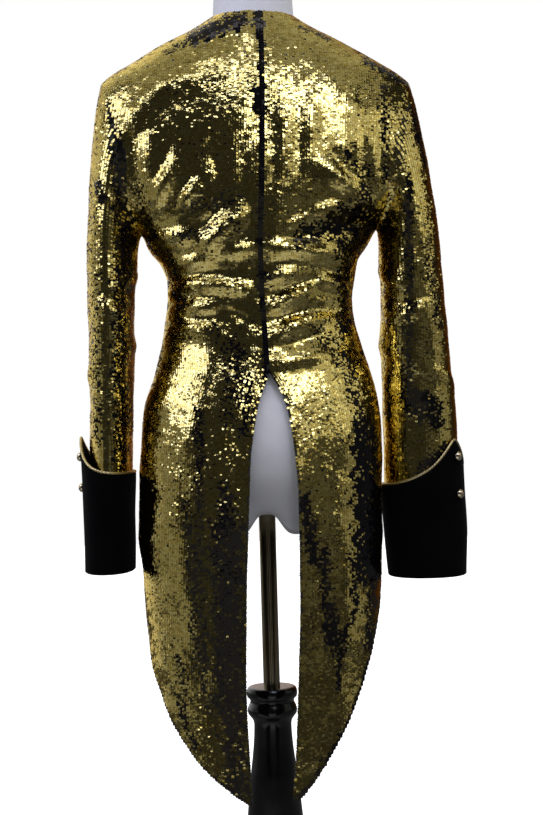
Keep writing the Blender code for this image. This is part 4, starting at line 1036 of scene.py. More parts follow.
# Each sequin leans off its thread, one way or the other, and strays by chance and with the pucker
flat_on = add_node(
    sew,
    "FunctionNodeAxesToRotation",
    {0: sewn["out"], 1: sewn["top"]},
    primary_axis="Z",
    secondary_axis="Y",
)
chance = {"Probability": sewn["turned_over"], "Seed": given["Seed"]}
over = add_node(sew, "FunctionNodeRandomValue", chance, data_type="BOOLEAN").outputs[3]
way = carry_over(sew, over, wanted=(-1.0, 1.0))
lean = calculate(sew, "MULTIPLY", calculate(sew, "MULTIPLY", given["Lean"], way), sewn["hang"])
first_seed = calculate(sew, "ADD", given["Seed"], 11.0)
second_seed = calculate(sew, "ADD", given["Seed"], 23.0)
swing, stray = (draw_vector(sew, (-1, -1, -1), (1, 1, 1), seed) for seed in (first_seed, second_seed))
for _ in range(2):
    squared = calculate_vector(sew, "MULTIPLY", stray, stray)
    stray = calculate_vector(sew, "MULTIPLY", squared, stray)
stray = calculate_vector(sew, "MULTIPLY", stray, given["Stray"])
swung = calculate_vector(sew, "SCALE", calculate_vector(sew, "ADD", swing, stray))
set_inputs(swung, {"Scale": calculate(sew, "MULTIPLY", given["Loose"], sewn["loose"])})
grain = calculate_vector(sew, "MULTIPLY", sewn["position"], given["Pucker Grain"])
pucker = add_node(
    sew, "ShaderNodeTexNoise", {"Vector": grain, "Scale": 1.0, "Detail": 2.0, "Roughness": 0.6}
)
pucker = calculate_vector(sew, "SUBTRACT", pucker.outputs["Color"], (0.5, 0.5, 0.5))
swung = calculate_vector(sew, "ADD", swung, calculate_vector(sew, "MULTIPLY", pucker, given["Pucker"]))
swung = calculate_vector(sew, "ADD", swung, add_node(sew, "ShaderNodeCombineXYZ", {"X": lean}))
tilt = add_node(sew, "FunctionNodeEulerToRotation", {0: swung})
turned = add_node(sew, "FunctionNodeRotateRotation", {0: flat_on, 1: tilt}, rotation_space="LOCAL")
rim = {"Vertices": SEQUIN_CORNERS, "Radius": given["Radius"]}
disc = add_node(sew, "GeometryNodeMeshCircle", rim, fill_type="NGON")
size = calculate(sew, "MULTIPLY", draw_number(sew, *SEQUIN_SIZES, second_seed), sewn["stretch"])
sequins = add_node(
    sew,
    "GeometryNodeInstanceOnPoints",
    {"Points": seats, "Instance": disc, "Rotation": turned, "Scale": size},
)
# The film's material reads the side that shows, a tone and the middle of each sequin
tone = draw_number(sew, 0.0, 1.0, first_seed)
middle = add_node(sew, "GeometryNodeInputPosition")
for label, value, kind in (
    ("black_side", over, "FLOAT"),
    ("tone", tone, "FLOAT"),
    ("seat", middle, "FLOAT_VECTOR"),
):
    values = {"Geometry": sequins, "Name": label, "Value": value}
    sequins = add_node(sew, "GeometryNodeStoreNamedAttribute", values, data_type=kind, domain="INSTANCE")
real = add_node(sew, "GeometryNodeRealizeInstances", {"Geometry": sequins})
filmed = add_node(sew, "GeometryNodeSetMaterial", {"Geometry": real, "Material": given["Film"]})
set_inputs(result, {"Geometry": filmed})


# Sequins hang by their tops and lie flat where the cloth faces up by these shares
LYING_FLAT = (0.35, 0.62)
STRETCH_SPAN = (1.0, 1.45)
LOOSE_GAIN = 2.6


def open_grid(name, points, flat, normals, turned_over):
    """The cloth's outer face as an open mesh with its flat cut and the state of its sequins."""
    rows, columns = points.shape[:2]
    item = add_mesh(name, points.reshape(-1, 3), grid_faces(rows, columns), sequin_film, smooth=False)
    up_row, up_column = np.gradient(points, axis=0), np.gradient(points, axis=1)
    flat_row, flat_column = np.gradient(flat, axis=0), np.gradient(flat, axis=1)
    twist = np.sign(flat_column[..., 0] * flat_row[..., 1] - flat_row[..., 0] * flat_column[..., 1])
    top = up_row * flat_column[..., :1] - up_column * flat_row[..., :1]
    top = unit(top * np.where(twist == 0, 1, twist)[..., None])
    spans = [
        np.linalg.norm(step, axis=-1) / np.maximum(np.linalg.norm(flat_step, axis=-1), 1e-5)
        for step, flat_step in ((up_row, flat_row), (up_column, flat_column))
    ]
    stretch = np.clip(np.maximum(spans[0], spans[1]), *STRETCH_SPAN)
    for label, values, kind in (
        ("cut", np.dstack((flat * MAP_SCALE, np.zeros((rows, columns)))), "FLOAT_VECTOR"),
        ("out", normals, "FLOAT_VECTOR"),
        ("top", top, "FLOAT_VECTOR"),
        ("turned_over", turned_over, "FLOAT"),
        ("loose", 1 + LOOSE_GAIN * turned_share(LOOSE_STROKES, points[..., 0], points[..., 2]), "FLOAT"),
        ("stretch", stretch, "FLOAT"),
        ("hang", 1 - ease(normals[..., 2], *LYING_FLAT), "FLOAT"),
    ):
        layer = item.data.attributes.new(label, kind, "POINT")
        key = "vector" if kind == "FLOAT_VECTOR" else "value"
        layer.data.foreach_set(key, np.ascontiguousarray(values, dtype=np.float32).ravel())
    return item


def lay_sequins(name, points, flat, normals, turned_over, seed):
    """Rows of sequins on a panel's outer face, as one mesh with a cell of its map for each."""
    item = open_grid(name, points, flat, normals, turned_over)
    low, high = flat.min(axis=(0, 1)), flat.max(axis=(0, 1))
    per_row = int((high[0] - low[0]) / SEQUIN_PITCH) + 2
    rows = int((high[1] - low[1]) / ROW_PITCH) + 2
    values = {
        "Low Corner": (float(low[0]), float(low[1]), 0.0),
        "Per Row": per_row,
        "Count": per_row * rows,
        "Loose": SEQUIN_LOOSE,
        "Seed": seed,
        "Film": sequin_film,
    }
    mesh = grow(item, sew, values)
    count = len(mesh.polygons)
    cells = math.ceil(math.sqrt(count))
    turns = full_turn(SEQUIN_CORNERS)
    number = np.arange(count)
    origin = np.c_[number % cells, number // cells][:, None, :]
    corner = 0.5 + CELL_SHARE * np.c_[np.cos(turns), np.sin(turns)][None, :, :]
    layer = mesh.uv_layers.get("OFBake") or mesh.uv_layers.new(name="OFBake")
    layer.data.foreach_set("uv", ((origin + corner) / cells).astype(np.float32).ravel())
    for spare in [layer.name for layer in mesh.uv_layers if layer.name != "OFBake"]:
        mesh.uv_layers.remove(mesh.uv_layers[spare])
    mesh.shade_flat()
    return item


SEQUIN_LOOSE = 0.032
CELL_SHARE = 0.4

# Where the sequins show their black side, in strokes across the back. Some are where stroking has
# turned them; others are painted shade, black sides set to darken places that lie in shade and to dim
# highlights there.
STROKE = "x1 z1 x2 z2 width share"
BACK_TURNED_AND_SHADE_STROKES = from_photo(STROKE, BACK_PIXEL, BACK_PIXEL[0],
    (196, 27, 236, 14, 11, 0.96), (345, 218, 377, 216, 14, 0.95), (304, 230, 345, 222, 8, 0.75),
    (345, 245, 347, 325, 8, 0.55), (350, 152, 368, 172, 7, 0.55), (386, 84, 389, 180, 3.2, 0.75),
    (136, 178, 150, 238, 6, 0.45), (341, 322, 352, 400, 5, 0.45), (367, 440, 368, 574, 14, 0.93),
    (199, 408, 204, 690, 4.2, 0.7), (228, 530, 232, 700, 17, 0.93), (226, 490, 228, 530, 8, 0.85),
    (232, 700, 240, 785, 11, 0.9), (196, 560, 198, 585, 3, 0.8), (178, 700, 196, 745, 3.5, 0.8),
    (376, 580, 371, 652, 5, 0.7), (327, 602, 340, 652, 7, 0.85), (302, 240, 345, 226, 8, 0.72),
    (345, 240, 372, 246, 8, 0.7), (352, 262, 350, 320, 9, 0.55), (320, 330, 350, 372, 7, 0.45),
    (212, 330, 240, 350, 7, 0.4), (165, 250, 178, 300, 6, 0.4), (368, 190, 374, 232, 8, 0.72),
    (352, 372, 366, 445, 7, 0.62), (190, 205, 236, 196, 8, 0.38), (176, 232, 236, 226, 7, 0.35),
    (238, 352, 244, 398, 9, 0.62), (251, 378, 246, 430, 6, 0.6), (226, 345, 230, 420, 6, 0.35),
) + rows_of(STROKE,
    (-0.11, 1.408, -0.082, 1.42, 0.005, 0.6), (0.005, 1.452, 0.009, 1.428, 0.006, 1),
    (0.009, 1.425, 0.0105, 1.384, 0.0042, 0.95), (-0.001, 1.35, 0.007, 1.326, 0.007, 0.95),
    (0.002, 1.342, 0.01, 1.352, 0.006, 0.9), (0.006, 1.118, 0.003, 1.106, 0.0065, 0.75),
    (0.14, 1.392, 0.192, 1.366, 0.006, 0.9), (0.06, 1.436, 0.098, 1.421, 0.0035, 0.75),
    (0.047, 0.846, 0.056, 0.77, 0.0075, 0.92), (0.068, 0.778, 0.071, 0.752, 0.0065, 0.8),
    (0.069, 0.75, 0.073, 0.66, 0.0055, 0.85), (0.074, 0.69, 0.086, 0.656, 0.008, 0.92),
    (0.105, 0.77, 0.107, 0.7, 0.006, 0.7), (0.104, 0.7, 0.088, 0.656, 0.005, 0.75),
    (0.084, 0.65, 0.083, 0.606, 0.0032, 0.8), (-0.098, 0.85, -0.094, 0.72, 0.0055, 0.55),
    (-0.094, 0.72, -0.09, 0.64, 0.0065, 0.5), (-0.112, 0.65, -0.106, 0.6, 0.008, 0.35),
    (-0.078, 0.6, -0.07, 0.56, 0.007, 0.35), (-0.045, 0.56, -0.035, 0.5, 0.006, 0.3),
)
# Where the sequins hang loose and glint every way
LOOSE_STROKES = from_photo(STROKE, BACK_PIXEL, BACK_PIXEL[0],
    (232, 424, 230, 520, 9, 1), (222, 560, 236, 575, 9, 0.8), (212, 78, 250, 96, 15, 0.6),
    (270, 70, 300, 150, 18, 0.45), (130, 130, 138, 200, 8, 0.6), (404, 110, 408, 190, 8, 0.5),
    (180, 180, 210, 200, 12, 0.5), (275, 405, 330, 430, 14, 0.5), (110, 380, 120, 420, 10, 0.7),
    (175, 620, 178, 690, 8, 0.4), (178, 440, 176, 520, 13, 0.4), (165, 590, 172, 660, 12, 0.5),
    (190, 700, 206, 760, 11, 0.5), (101, 100, 104, 178, 9, 0.8), (398, 105, 404, 178, 9, 0.8),
    (268, 305, 308, 284, 8, 0.95), (270, 334, 308, 318, 8, 0.95), (208, 250, 238, 214, 6, 0.8),
    (172, 196, 196, 178, 5, 0.8), (192, 332, 214, 322, 6, 0.8),
) + from_photo(STROKE, SLEEVE_PIXEL, SLEEVE_PIXEL[0],
    (94, 180, 96, 430, 9, 0.55), (428, 180, 446, 420, 9, 0.4),
) + rows_of(STROKE,
    (-0.087, 1.11, -0.026, 1.106, 0.011, 0.9),
)
SEAM_STRIP = {-1: 0.0048, 1: 0.0012}
HEM_STRIP = {-1: 0.0035, 1: 0.0085}
STRAY_SHARE = 0.012


def turned_share(strokes, x, z):
    """The share of sequins that lie black side up at each place."""
    share = np.full_like(x, STRAY_SHARE)
    for stroke in strokes:
        _, off_x, off_z = beside_line(stroke, x, z)
        ragged = 0.25 * np.sin(310 * x + 170 * z) + 0.25 * np.sin(230 * z - 420 * x)
        away = np.hypot(off_x, off_z) / stroke.width + ragged
        share = np.maximum(share, stroke.share * (1 - ease(away, 0.7, 1.3)))
    return share


BEAD_RADIUS, BEAD_PITCH, BEAD_SIZES = 0.0017, 0.0032, (0.85, 1.12)
BEAD_TURN, BEAD_FLATNESS = np.array((0.7, 0.7, 3.1)), 0.62

string, given, result = new_tree(
    "string_edge_beads",
    (
        ("Pitch", "Float", BEAD_PITCH),
        ("Radius", "Float", BEAD_RADIUS),
        ("Seed", "Int", 1),
        ("Glass", "Material", None),
    ),
)
edge_line = add_node(string, "GeometryNodeMeshToCurve", {"Mesh": given["Geometry"]})
along = {"Curve": edge_line, "Length": given["Pitch"]}
spaced = add_node(string, "GeometryNodeResampleCurve", along, mode="LENGTH")
ball = {"Segments": 7, "Rings": 5, "Radius": given["Radius"]}
bead = add_node(string, "GeometryNodeMeshUVSphere", ball)
squashed = add_node(string, "GeometryNodeTransform", {"Geometry": bead, "Scale": (1, 1, BEAD_FLATNESS)})
spin = draw_vector(string, -BEAD_TURN, BEAD_TURN, given["Seed"])
size = draw_number(string, *BEAD_SIZES, given["Seed"])
strung = add_node(
    string,
    "GeometryNodeInstanceOnPoints",
    {"Points": spaced, "Instance": squashed, "Rotation": spin, "Scale": size},
)
real = add_node(string, "GeometryNodeRealizeInstances", {"Geometry": strung})
smooth = add_node(string, "GeometryNodeSetShadeSmooth", {"Geometry": real})
glassed = add_node(string, "GeometryNodeSetMaterial", {"Geometry": smooth, "Material": given["Glass"]})
set_inputs(result, {"Geometry": glassed})

bead_glass, tree, shader = start_material("black_glass_beads", {"Coat Weight": 0.5})
bloom = carry_over(tree, object_noise(tree, 160.0, 2.0), (0.45, 0.62))
bead_colour = mix_colours(tree, bloom, (0.006, 0.006, 0.008, 1), (0.030, 0.022, 0.012, 1))
set_inputs(shader, {"Base Color": bead_colour})
add_handling(tree, shader, 90.0, 0.10, 0.24, 0.0001)


def string_beads(name, line, seed):
    """A row of black beads along a line of points."""
    mesh = bpy.data.meshes.new(name)
    edges = [(k, k + 1) for k in range(len(line) - 1)]
    mesh.from_pydata([tuple(p) for p in line], edges, [])
    item = bpy.data.objects.new(name, mesh)
    bpy.context.scene.collection.objects.link(item)
    grow(item, string, {"Seed": seed, "Glass": bead_glass})
    return item


def edge_of(points, normals):
    """The middle of a cloth wall's edge."""
    return points - normals * CLOTH / 2


def join_panel(panel, word, cloth, sewn_on):
    """Fixes a panel's cloth in place of its solid, and what is sewn on it, to the object."""
    finish_piece(cloth, "sequin_cloth", f"{panel}_{word}")
    for item in sewn_on:
        finish_piece(item, "sequin_cloth")


for side, word in SIDES:
    shares = np.linspace(0, 1, BACK_COLUMNS + 1)
    hem = tail_hem(side, shares)
    rises = np.linspace(0, 1, TAIL_ROWS + 1)[:-1]
    tail = hem[None, :] + (TAIL_FAN_Z - hem)[None, :] * rises[:, None]
    hip = np.linspace(TAIL_FAN_Z, VENT_TOP_Z, HIP_ROWS + 1)[:-1]
    above = np.concatenate((hip, body_heights()))
    heights = np.concatenate((tail, np.repeat(above[:, None], len(shares), axis=1)))
    face = coat_face(side, back_angle(side, shares[None, :], heights), heights)
    normals = grid_normals(face, side)
    vent_rows = len(tail) + len(hip)
    flat = lay_flat(face, vent_rows + WAIST_ROWS, 0)
    cloth = cloth_wall(f"back_cloth_{word}", face, normals, CLOTH, False, ground_cloth, flat)

    # Black sides where stroking turned the sequins, and painted shade where they are set to darken the
    # cloth
    turned_over = turned_share(BACK_TURNED_AND_SHADE_STROKES, face[..., 0], face[..., 2])
    seam_part = 1 - ease(flat[..., 0], SEAM_STRIP[side] * 0.8, SEAM_STRIP[side] * 1.3)
    above_vent = ease(heights, VENT_TOP_Z - 0.03, VENT_TOP_Z)
    from_hem = flat[..., 1] - flat[:1, :, 1]
    hem_part = 1 - ease(from_hem, HEM_STRIP[side] * 0.8, HEM_STRIP[side] * 1.5)
    turned_over = np.maximum(turned_over, np.maximum(seam_part * above_vent, hem_part * 0.9))
    sequins = lay_sequins(f"back_sequins_{word}", face, flat, normals, turned_over, 40 + side)
    edge = edge_of(face, normals)
    line = np.concatenate((edge[:vent_rows, 0][::-1], edge[0, 1:]))
    beads = string_beads(f"tail_beads_{word}", line, 7 + side)
    join_panel("back", word, cloth, [sequins, beads])

# Fronts. Cut from the same cloth with a plain V neck, they meet edge to edge above the waist and
# are cut away from there round the hip to the tails. Their edges are beaded as the tails' are.
FRONT_COLUMNS, FRONT_TAIL_ROWS = 36, 44
FRONT_CORNER_Z, CLOSING_Z = 1.065, 1.20
NECK_HALF_OPENING, FRONT_EDGE_CURVE = 0.050, 1.8
FRONT_STROKES = rows_of(
    STROKE,
    (-0.07, 1.4, -0.058, 1.33, 0.006, 0.8), (0.064, 1.42, 0.058, 1.35, 0.006, 0.8),
    (-0.1, 1.18, -0.088, 1.12, 0.007, 0.7), (0.092, 1.25, 0.1, 1.16, 0.006, 0.75),
    (0.12, 1.01, 0.128, 0.9, 0.008, 0.7), (-0.124, 0.98, -0.13, 0.86, 0.008, 0.65),
)


def front_angle(side, share, z):
    """Angle of a front's grid point: share 0 at its outer edge, 1 at its front edge."""
    edge = -armhole_angle(z)
    outer = edge - step_angle(side, edge, z, HALF_SEAM)
    opening = NECK_HALF_OPENING * np.clip((z - CLOSING_Z) / (NECK_Z - CLOSING_Z), 0, None)
    inner = angle_at(side, side * (0.0015 + opening), z, False)
    return outer + (inner - outer) * share


for side, word in SIDES:
    shares = np.linspace(0, 1, FRONT_COLUMNS + 1) ** 1.4
    low = TAIL_CUTS[side].hem_top_z
    hem = low + (FRONT_CORNER_Z - low) * shares ** (1 / FRONT_EDGE_CURVE)
    levels = np.concatenate((np.linspace(low, VENT_TOP_Z, FRONT_TAIL_ROWS + 1)[:-1], body_heights()))
    is_low = levels < UNDERARM_Z - 1e-6
    rises = (levels[is_low] - low) / (UNDERARM_Z - low)
    fan = hem[None, :] + (UNDERARM_Z - hem)[None, :] * rises[:, None]
    heights = np.concatenate((fan, np.repeat(levels[~is_low][:, None], len(shares), axis=1)))
    face = coat_face(side, front_angle(side, shares[None, :], heights), heights)
    normals = grid_normals(face, side)
    flat = lay_flat(face, len(fan), 0)
    cloth = cloth_wall(f"front_cloth_{word}", face, normals, CLOTH, False, ground_cloth, flat)
    turned_over = turned_share(FRONT_STROKES, face[..., 0], face[..., 2])
    sequins = lay_sequins(f"front_sequins_{word}", face, flat, normals, turned_over, 60 + side)
    edge = edge_of(face, normals)
    beads = string_beads(f"front_beads_{word}", np.concatenate((edge[0], edge[1:, -1])), 17 + side)
    join_panel("front", word, cloth, [sequins, beads])

# Sleeves. Each is one piece of the sequin cloth, sewn along the underarm and set into the
# armhole. They hang empty and soft, with slack folds above and below the elbow, into the cuffs.
SLEEVE_HEAD_ROWS, SLEEVE_ROWS = 44, 84
SLEEVE_HEAD_END_Z = 1.14
SLEEVE_SQUARE = 2.1
HEAD_PUFF, HEAD_REACH, HEAD_SETTLE = 0.30, 0.60, 0.80
VELVET, SEAT_GAP, CUFF_GRIP = 0.0026, 0.0004, 0.10

SLEEVE = "z x y half_x half_y"
SLEEVES = {
    -1: rows_of(
        SLEEVE,
        (1.14, 0.1935, 0.0, 0.0298, 0.066), (1.05, 0.1954, 0.001, 0.0276, 0.066),
        (0.97, 0.198, 0.006, 0.0267, 0.064), (0.92, 0.1999, 0.009, 0.026, 0.062),
        (0.7, 0.206, 0.019, 0.025, 0.059),
    ),
    1: rows_of(
        SLEEVE,
        (1.14, 0.1955, 0.004, 0.0382, 0.06), (1.05, 0.1985, 0.01, 0.0425, 0.057),
        (0.97, 0.2022, 0.02, 0.0457, 0.054), (0.92, 0.2039, 0.025, 0.0473, 0.052),
        (0.7, 0.206, 0.031, 0.046, 0.05),
    ),
}
CUFFS = {
    -1: rows_of(
        SLEEVE,
        (0.93, 0.2046, 0.008, 0.035, 0.07), (0.88, 0.2045, 0.01, 0.0345, 0.07),
        (0.82, 0.2055, 0.014, 0.033, 0.069), (0.752, 0.207, 0.018, 0.0325, 0.067),
    ),
    1: rows_of(
        SLEEVE,
        (0.91, 0.2035, 0.028, 0.0545, 0.059), (0.85, 0.2055, 0.03, 0.0555, 0.059),
        (0.8, 0.2075, 0.031, 0.055, 0.058), (0.734, 0.2092, 0.031, 0.0515, 0.056),
    ),
}
# Soft folds of a sleeve: half round it, at a height that climbs with the angle
SLEEVE_FOLD = "z turn climb spread width height"
SLEEVE_FOLDS = {
    -1: rows_of(
        SLEEVE_FOLD,
        (1.125, 2.6, 0.016, 0.9, 0.01, 0.0045), (1.085, 1.9, -0.014, 0.8, 0.009, 0.004),
        (1.04, 2.9, 0.012, 0.7, 0.009, 0.0035), (1.01, 0.6, 0.016, 0.8, 0.01, 0.0035),
        (1.104, 1.3, 0.02, 0.5, 0.006, -0.0015), (0.975, 1.8, -0.012, 0.7, 0.009, 0.0016),
        (1.16, 1.2, 0.03, 0.6, 0.01, 0.0018),
    ),
    1: rows_of(
        SLEEVE_FOLD,
        (1.12, 2.5, 0.018, 0.9, 0.01, 0.0045), (1.07, 2.0, -0.015, 0.8, 0.01, 0.004),
        (1.03, 2.8, 0.012, 0.7, 0.009, 0.0035), (0.99, 0.7, 0.016, 0.8, 0.01, 0.0035),
        (1.095, 1.3, 0.018, 0.5, 0.006, -0.0015), (0.955, 1.5, -0.01, 0.7, 0.009, 0.0016),
        (1.17, 1.4, 0.03, 0.6, 0.01, 0.0018),
    ),
}
# Where the sleeves' sequins show their black side: partly turned by stroking, partly painted shade that
# darkens them where they lie in shade
SLEEVE_TURNED_AND_SHADE_STROKES = {
    -1: from_photo(STROKE, SLEEVE_PIXEL, SLEEVE_PIXEL[0],
        (122, 150, 127, 300, 8, 0.82), (127, 300, 126, 420, 7, 0.72), (108, 100, 122, 155, 2.2, 0.85),
        (120, 250, 121, 455, 8, 0.55), (99, 270, 98, 440, 4, 0.45), (93, 190, 96, 430, 9, 0.22),
        (126, 110, 129, 240, 4, 0.8),
    ) + rows_of(STROKE,
        (-0.201, 1.245, -0.196, 1.222, 0.0055, 0.9), (-0.19, 1.05, -0.186, 1, 0.004, 0.5),
    ),
    1: from_photo(STROKE, SLEEVE_PIXEL, SLEEVE_PIXEL[0],
        (407, 185, 411, 418, 3.6, 0.75), (414, 88, 424, 170, 2.6, 0.8), (389, 200, 389, 418, 3.5, 0.35),
        (420, 400, 440, 413, 7, 0.95), (424, 472, 452, 452, 7, 0.9), (405, 330, 409, 400, 5, 0.5),
        (425, 250, 440, 330, 4, 0.45),
    ) + rows_of(STROKE,
        (0.186, 0.962, 0.204, 0.94, 0.0085, 0.92), (0.204, 0.945, 0.222, 0.932, 0.008, 0.92),
        (0.196, 1.33, 0.206, 1.29, 0.005, 0.8),
    ),
}
OUTER_STRIP = {-1: 0.0, 1: 0.0075}
# The strokes read on the back leave the sleeves' front halves alone
OUT_OF_REACH = 9.0
SLEEVE_HIDDEN = 0.045


def oval(rows, side, turn, z):
    """Points of a sleeve's or cuff's section: turn 0 points away from the body, then back."""
    across, along = np.cos(turn), np.sin(turn)
    power = 2 / SLEEVE_SQUARE
    x = read_rows(rows, z, "x") + read_rows(rows, z, "half_x") * np.sign(across) * np.abs(across) ** power
    y = read_rows(rows, z, "y") - read_rows(rows, z, "half_y") * np.sign(along) * np.abs(along) ** power
    return np.stack(np.broadcast_arrays(side * x, y, z), axis=-1)


def oval_centre(rows, side, z):
    """The middle of such a section."""
    x, y = side * read_rows(rows, z, "x"), read_rows(rows, z, "y")
    return np.stack(np.broadcast_arrays(x, y, z), axis=-1)


def sleeve_lift(side, turn, z):
    """How far a sleeve's folds lift it at each place."""
    lift = np.zeros(np.broadcast(turn, z).shape)
    for fold in SLEEVE_FOLDS[side]:
        swing = np.remainder(turn - fold.turn + np.pi, 2 * np.pi) - np.pi
        height = fold.z + fold.climb * swing
        lift += fold.height * np.exp(-((swing / fold.spread) ** 2) - ((z - height) / fold.width) ** 2)
    return lift


def sleeve_point(side, turn, z):
    """Points of a sleeve below its head. Inside the cuff it follows the cuff's inner face."""
    own = oval(SLEEVES[side], side, turn, z)
    outward = unit(own - oval_centre(SLEEVES[side], side, z))
    own = own + outward * (sleeve_lift(side, turn, z) + wave_lift(own[..., 0] - own[..., 1], z))[..., None]
    middle = oval_centre(CUFFS[side], side, z)
    reach = oval(CUFFS[side], side, turn, z) - middle
    inset = VELVET + 2 * SEAT_GAP
    shrink = reach * np.stack(
        np.broadcast_arrays(
            1 - inset / read_rows(CUFFS[side], z, "half_x"),
            1 - inset / read_rows(CUFFS[side], z, "half_y"),
            np.zeros(np.shape(z)),
        ),
        axis=-1,
    )
    low = CUFFS[side][-1].z
    grip = 1 - ease(z, low + 0.02, low + CUFF_GRIP)
    return own + (middle + shrink - own) * np.broadcast_to(grip, own.shape[:-1])[..., None]


def sleeve_grid(side):
    """A sleeve's outer face from its hem inside the cuff up to the armhole, open at the underarm."""
    levels = armhole_heights()
    up_back, down_front = armhole_angle(levels), -armhole_angle(levels[::-1])
    z = np.concatenate((levels, levels[::-1][1:]))
    angle = np.concatenate((up_back, down_front[1:]))
    ring, normal = coat_face(side, angle, z), coat_normal(side, angle, z)
    normal[-1] = normal[0]
    ahead, behind = np.roll(ring[:-1], -1, axis=0), np.roll(ring[:-1], 1, axis=0)
    along = np.concatenate((ahead - behind, (ahead - behind)[:1]))
    into = unit(np.cross(along, normal))
    middle = ring[:-1].mean(axis=0)
    into *= np.sign(np.sum(into * (middle - ring), axis=-1, keepdims=True))
    starts = ring + into * SEAM_GAP
    headings = unit(into + normal * HEAD_PUFF)
    turns = np.pi * (1 - np.arange(2 * ARMHOLE_ROWS + 1) / ARMHOLE_ROWS)
    ends = sleeve_point(side, turns, np.full_like(turns, SLEEVE_HEAD_END_Z))
    settle = HEAD_SETTLE * (1 + np.cos(turns))[:, None] / 2
    headings = unit(headings + (unit(ends - starts) - headings) * settle)
    reach = np.linalg.norm(ends - starts, axis=-1, keepdims=True) * HEAD_REACH
    down = np.array((0, 0, -1.0))
    grid = []
    for t in np.linspace(0, 1, SLEEVE_HEAD_ROWS + 1)[:-1]:
        settle = t * t * (3 - 2 * t)
        leave, arrive = headings * reach * t * (1 - t) ** 2, down * reach * t * t * (t - 1)
        row = starts * (1 - settle) + ends * settle + leave + arrive
        wave = wave_lift(row[:, 0], row[:, 2]) * 4 * t * (1 - t)
        grid.append(row + unit(row - row.mean(axis=0)) * wave[:, None])
    levels = np.linspace(SLEEVE_HEAD_END_Z, CUFFS[side][-1].z + SEAT_GAP, SLEEVE_ROWS + 1)
    grid += [sleeve_point(side, turns, np.full_like(turns, z)) for z in levels]
    return np.array(grid)[::-1], turns


def tube_normals(points, side):
    """Outward directions of a grid whose first and last columns meet."""
    wrapped = np.concatenate((points[:, -2:-1], points, points[:, 1:2]), axis=1)
    along = (wrapped[:, 2:] - wrapped[:, :-2]) / 2
    return unit(np.cross(along, np.gradient(points, axis=0))) * side


for side, word in SIDES:
    face, turns = sleeve_grid(side)
    normals = tube_normals(face, side)
    flat = lay_flat(face, SLEEVE_ROWS, ARMHOLE_ROWS)
    flat[SLEEVE_ROWS:, :, 0] = flat[SLEEVE_ROWS, :, 0]
    steps = np.linalg.norm(np.diff(face[SLEEVE_ROWS:], axis=0), axis=-1)
    flat[SLEEVE_ROWS + 1 :, :, 1] = flat[SLEEVE_ROWS, :, 1] + np.cumsum(steps, axis=0)
    flat = let_out(face, flat, slice(0, SLEEVE_ROWS))
    cloth = cloth_wall(f"sleeve_cloth_{word}", face, normals, CLOTH, True, ground_cloth, flat)
    shown = np.where(turns[None, :] > 0, face[..., 0], OUT_OF_REACH)
    # Black sides where stroking turned the sequins, and painted shade on the sleeve's dark bands
    turned_over = turned_share(SLEEVE_TURNED_AND_SHADE_STROKES[side], shown, face[..., 2])
    strip = OUTER_STRIP[side]
    if strip:
        outer_part = 1 - ease(np.abs(flat[..., 0] + strip * 0.2), strip * 0.8, strip * 1.3)
        turned_over = np.maximum(turned_over, 0.9 * outer_part)
    hidden = int(np.searchsorted(face[:, ARMHOLE_ROWS, 2], CUFFS[side][-1].z + SLEEVE_HIDDEN))
    shown_rows = [grid[hidden:] for grid in (face, flat, normals, turned_over)]
    sequins = lay_sequins(f"sleeve_sequins_{word}", *shown_rows, 80 + side)
    join_panel("sleeve", word, cloth, [sequins])

# Cuffs. Gauntlets of black cotton velvet, stiffened, that stand out from the sleeve and rise to a
# peak on the outer side, sewn to the sleeve at the hem. Their edges turn softly.
CuffCut = namedtuple("CuffCut", "low_z peak_z peak_turn")
CUFF_CUTS = {-1: CuffCut(0.8770, 0.9235, 0.0), 1: CuffCut(0.8500, 0.9080, math.radians(42))}
CUFF_FLARE, CUFF_LEVELLING = 0.0015, 0.2
PEAK_SPREAD, PEAK_CURVE = math.radians(42), 1.35
CUFF_ROWS, CUFF_COLUMNS = 40, 120

velvet, tree, shader = start_material(
    "black_cotton_velvet",
    {"Roughness": 0.95, "Sheen Weight": 0.03, "Sheen Roughness": 0.35, "Specular IOR Level": 0.04},
)
pile, brushed = object_noise(tree, 2200.0, 2.0), object_noise(tree, 22.0, 3.0)
pile_colour = mix_colours(tree, brushed, (0.0012, 0.0012, 0.0014, 1), (0.0030, 0.0030, 0.0034, 1))
set_inputs(shader, {"Base Color": pile_colour, "Normal": add_bump(tree, pile, 0.0004, 0.5)})


def peak(side, turn):
    """1 at the cuff's peak, falling softly to 0 round it."""
    swing = np.abs(np.remainder(turn - CUFF_CUTS[side].peak_turn + np.pi, 2 * np.pi) - np.pi)
    return np.exp(-((swing / PEAK_SPREAD) ** PEAK_CURVE))


def cuff_point(side, turn, rise):
    """Points of the cuff's outer face: rise 0 at its hem, 1 at its top edge."""
    cut, low = CUFF_CUTS[side], CUFFS[side][-1].z
    top = cut.low_z + (cut.peak_z - cut.low_z) * peak(side, turn)
    z = low + (top - low) * rise
    point = oval(CUFFS[side], side, turn, z)
    outward = unit(point - oval_centre(CUFFS[side], side, z))
    soft = 0.0006 * np.sin(3 * turn + 40 * z + side) * np.sin(np.pi * rise)
    return point + outward * (CUFF_FLARE * peak(side, turn) * rise**4 + soft)[..., None]


